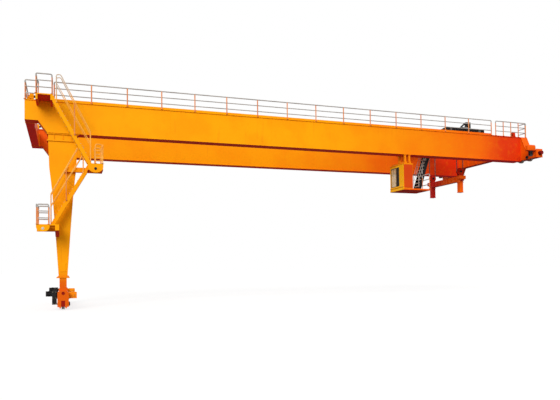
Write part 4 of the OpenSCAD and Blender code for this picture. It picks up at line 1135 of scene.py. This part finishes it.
def cab_outside():
    """Front sill, skirt, wiper and louvre."""
    lo, hi = CAB_LO, CAB_HI
    sill = plate("cab_sill", (lo.x - 0.03, lo.y + 0.02, lo.z + 0.1), (lo.x, hi.y - 0.02, lo.z + 0.17),
                 "-x", inset(0.012, 0.006), cut=(0.006, 2))
    skirt = plate("cab_skirt", (lo.x - 0.02, lo.y, lo.z - 0.1), (lo.x, hi.y, lo.z + 0.06),
                  "-x", inset(0.02, 0.004), cut=(0.006, 1))
    fit(join("cab_front_trims", [sill, skirt]), "cab")
    arm = [(lo.x - 0.02, -2.9, hi.z - 0.1), (lo.x - 0.035, -2.84, hi.z - 0.35), (lo.x - 0.02, -2.78, hi.z - 0.7)]
    fit(pipe("wipers", arm, 0.007, 0.05), "black")
    slat = plate("front_louvre", (lo.x - 0.02, -3.49, -0.03), (lo.x - 0.008, -3.21, 0.03), "+z", slide(x=0.006))
    shape(slat, "-x", inset(0.006, 0.002))
    fit(set_out(slat, [(0, 0, z) for z in row(lo.z + 0.27, hi.z - 0.18, 17)]), "black")


def cab_hanger_joints():
    """Bolted end plates where the hanger meets the girder."""
    plates, heads = [], []
    for x in (21.59, 21.91):
        for y in (-EDGE + 0.06, -INNER - 0.06):
            plates.append(plate("hanger_plate", (x - 0.1, y - 0.1, UNDER - 0.03), (x + 0.1, y + 0.1, UNDER),
                                "-z", inset(0.015, 0.004)))
            heads += [(x + a * 0.08, y + b * 0.08, UNDER - 0.035) for a in SIDES for b in SIDES]
    fit(join("hanger_plates", plates), "orange")
    bolts("hanger_bolts", heads, 0.022, "-z", finish="orange")


cab_frames()
cab_sheets()
cab_roof_top()
cab_door_leaf()
cab_inside()
cab_outside()
cab_hanger_joints()
cab_stair_rails()


# --- trolley and lifting beam
def grooved_drum():
    """Drum with rope grooves, turned from one profile."""
    hub, radius, disc, rim = 0.05, 0.25, 0.29, DRUM_HALF - 0.04
    pitch, count = 0.045, 40
    profile = [(-DRUM_HALF, hub), (-DRUM_HALF, disc), (-rim, disc), (-rim, radius)]
    for start in (0.1 - DRUM_HALF, 0.06):
        for k in range(count):
            y = start + pitch * k
            profile += [(y, radius), (y + pitch / 2, radius - 0.012)]
        profile.append((start + pitch * count, radius))
    profile += [(rim, radius), (rim, disc), (DRUM_HALF, disc), (DRUM_HALF, hub)]
    piece = thread("grooved_drum", [Vector((HOIST, y, DRUM_Z + r)) for y, r in profile])
    bpy.ops.object.mode_set(mode="EDIT")
    for operator, options in (
            (bpy.ops.mesh.spin, {"steps": 40, "angle": 2 * math.pi, "center": (HOIST, 0, DRUM_Z), "axis": (0, 1, 0)}),
            (bpy.ops.mesh.remove_doubles, {"threshold": 0.0005}),
            (bpy.ops.mesh.normals_make_consistent, {"inside": False})):
        bpy.ops.mesh.select_all(action="SELECT")
        operator(**options)
    bpy.ops.object.mode_set(mode="OBJECT")
    fit(smooth(piece, 30), "steel", "trolley", ("hoist_drum",))


def hoist_machinery():
    """Drum stands, gearbox and motor."""
    parts = []
    end = DRUM_HALF + 0.48
    for s in SIDES:
        stand = plate("drum_stand", (HOIST - 0.167, s * DRUM_HALF, DECK), (HOIST + 0.167, s * end, DRUM_Z + 0.167),
                      "+z", squeeze(0.6, 1, 1))
        shape(stand, "y", inset(0.03), inset(0.012, 0.012))
        parts.append(soften(stand, 0.012, 2))
    gear = cast_box("hoist_gearbox", (HOIST - 0.25, end, DECK), (HOIST + 0.25, end + 0.52, 11.77), "+y", 0.03)
    parts.append(shape(gear, "+z", *raised(0.05, "z", 0.015, 0.96)))
    fit(join("hoist_gear_units", parts), "black", "trolley", ("hoist_gear",))
    motor = finned_motor("hoist_motor_unit", (TROLLEY - 1.47, 1.49, 11.67), "y", 0.76, 0.21)
    fit(motor, "black", "trolley", ("hoist_motor",))


def trolley_details():
    """Axle caps, ribs, covers, buffers and the limit box of the trolley trucks."""
    parts, caps = [], []
    for y in (NEAR, FAR):
        for e in SIDES:
            out = to("y", e)
            caps += [turned("truck_cap", (TROLLEY + w * 1.2, y + e * 0.19, 11.35), "y", 0.1, 0.03, 28,
                            out, *raised(0.03, "y", e * 0.02)) for w in SIDES]
            rib = plate("truck_rib", (-0.01, y + e * 0.175, 11.24), (0.01, y + e * 0.19, 11.45),
                        out, squeeze(1, 1, 0.8))
            parts.append(set_out(rib, [(TROLLEY + x, 0, 0) for x in row(-0.9, 0.9, 5)]))
        parts.append(plate("truck_lid", (TROLLEY - 1.4, y - 0.15, DECK), (TROLLEY - 0.5, y + 0.15, DECK + 0.008),
                           "+z", inset(0.03, 0.004)))
        for w in SIDES:
            end = TROLLEY + w * 1.63
            parts.append(plate("truck_buffer", (end, y - 0.08, 11.26), (end + w * 0.05, y + 0.08, 11.43),
                               to("x", w), *raised(0.02, "x", w * 0.03, 0.7), cut=(0.008, 2)))
    parts.append(plate("guide_limit_box", (26.76, NEAR - 0.06, 11.64), (27.05, NEAR + 0.06, 11.86),
                       "y", inset(0.03), inset(0.01, 0.008), cut=(0.012, 2)))
    fit(join("truck_plates", parts), "black", "trolley")
    fit(join("truck_caps", caps), "steel", "trolley")


def hoist_rope_falls():
    """Rope falls from the drum down to the sheaves."""
    heights = row(SHEAVE_Z, DRUM_Z, 17)
    falls = [pipe("rope_fall", [(HOIST + e * 0.266, s * FALL + k * 0.03, z) for z in heights], 0.016)
             for s in SIDES for e in SIDES for k in SIDES]
    piece = join("hoist_rope_falls", falls)
    dress(piece, "rope")
    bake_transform(piece)
    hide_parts("hoist_ropes")


def lifting_details():
    """Sheave pins, keepers and feet, beam ribs, and collars, flanges and webs of the hanging posts."""
    ribs, pins, plates, heads = [], [], [], []
    for s in SIDES:
        y = s * FALL
        for e in SIDES:
            face, out = y + e * 0.105, to("y", e)
            pins.append(turned("sheave_pin", (HOIST, face + e * 0.03, SHEAVE_Z), "y", 0.075, 0.06, 32,
                               out, *raised(0.02, "y", e * 0.02)))
            plates.append(plate("pin_keeper", (HOIST - 0.12, face, 8.66), (HOIST + 0.12, face + e * 0.014, 8.7),
                                out, inset(0.008, 0.004)))
            plates.append(plate("cheek_foot", (HOIST - 0.19, face, 8.45), (HOIST + 0.19, face + e * 0.09, 8.475),
                                "+z", inset(0.012, 0.003)))
            heads += [(HOIST + x, face + e * 0.055, 8.478) for x in row(-0.15, 0.15, 4)]
            for rib_y in (1.35, 0.9, 0.45):
                ribs.append(plate("beam_rib", (HOIST + e * 0.15, s * rib_y - 0.01, 8.07),
                                  (HOIST + e * 0.2, s * rib_y + 0.01, 8.43), to("x", e), squeeze(1, 1, 0.86)))
            ribs.append(plate("post_web", (HOIST + e * 0.15, y - 0.01, 7.27), (HOIST + e * 0.17, y + 0.01, 7.5),
                              "+z", squeeze(0.2, 1, 1), slide(x=-e * 0.015)))
        ribs.append(plate("post_collar", (HOIST - 0.175, y - 0.175, 7.96), (HOIST + 0.175, y + 0.175, 8.0),
                          "-z", inset(0.025, 0.008)))
        ribs.append(plate("post_flange", (HOIST - 0.17, y - 0.17, 7.231), (HOIST + 0.17, y + 0.17, 7.265),
                          "+z", inset(0.03, 0.006)))
    fit(join("lifting_ribs", ribs), "red", "lifting")
    fit(join("sheave_pins", pins), "black", "lifting")
    fit(join("sheave_plates", plates), "red", "lifting")
    bolts("lifting_bolts", heads, 0.026, "+z", "lifting", "red")


grooved_drum()
hoist_machinery()
trolley_details()
hoist_rope_falls()
lifting_details()


# --- floor, light and background
def pale_floor():
    """A white floor to the eye that keeps the shadow, and a grey one to the light that it throws back."""
    clear()
    bpy.ops.mesh.primitive_circle_add(vertices=96, radius=420, fill_type="NGON", location=(14, 0, FLOOR))
    floor = settle("floor")
    f = new_finish("pale_floor")
    seen = f.seen()
    tint = f.blend(f.spots(0.3, 0.7, 0.7, 4.0) * 0.03, (255, 255, 255), (247, 246, 244))
    lit = f.node("BsdfDiffuse", {"Color": f.blend(seen, (148.9, 146.6, 144.3), tint)})
    glow = f.node("Emission", {"Color": (0.97, 0.985, 1.0, 1), "Strength": 1.06})
    floor.data.materials.append(f.close(f.node("MixShader", {0: seen * 0.72, 1: lit, 2: glow})))


def studio():
    """A white background, a warm fill from all round and a soft sun."""
    f = Finish(bpy.data.worlds.new("studio"))
    fill = f.node("Background", {"Color": (1.0, 0.94, 0.88, 1), "Strength": 0.7})
    white = f.node("Background", {"Color": (1, 1, 1, 1), "Strength": 1.0})
    scene.world = f.close(f.node("MixShader", {0: f.seen(), 1: fill, 2: white}), "World")
    key = bpy.data.lights.new("key", "SUN")
    key.energy = 2.3
    key.angle = math.radians(32)
    key.color = (1.0, 0.97, 0.92)
    sun = bpy.data.objects.new("key", key)
    scene.collection.objects.link(sun)
    sun.rotation_euler = Vector((0.42, 0.78, -0.46)).to_track_quat("-Z", "Y").to_euler()


pale_floor()
studio()
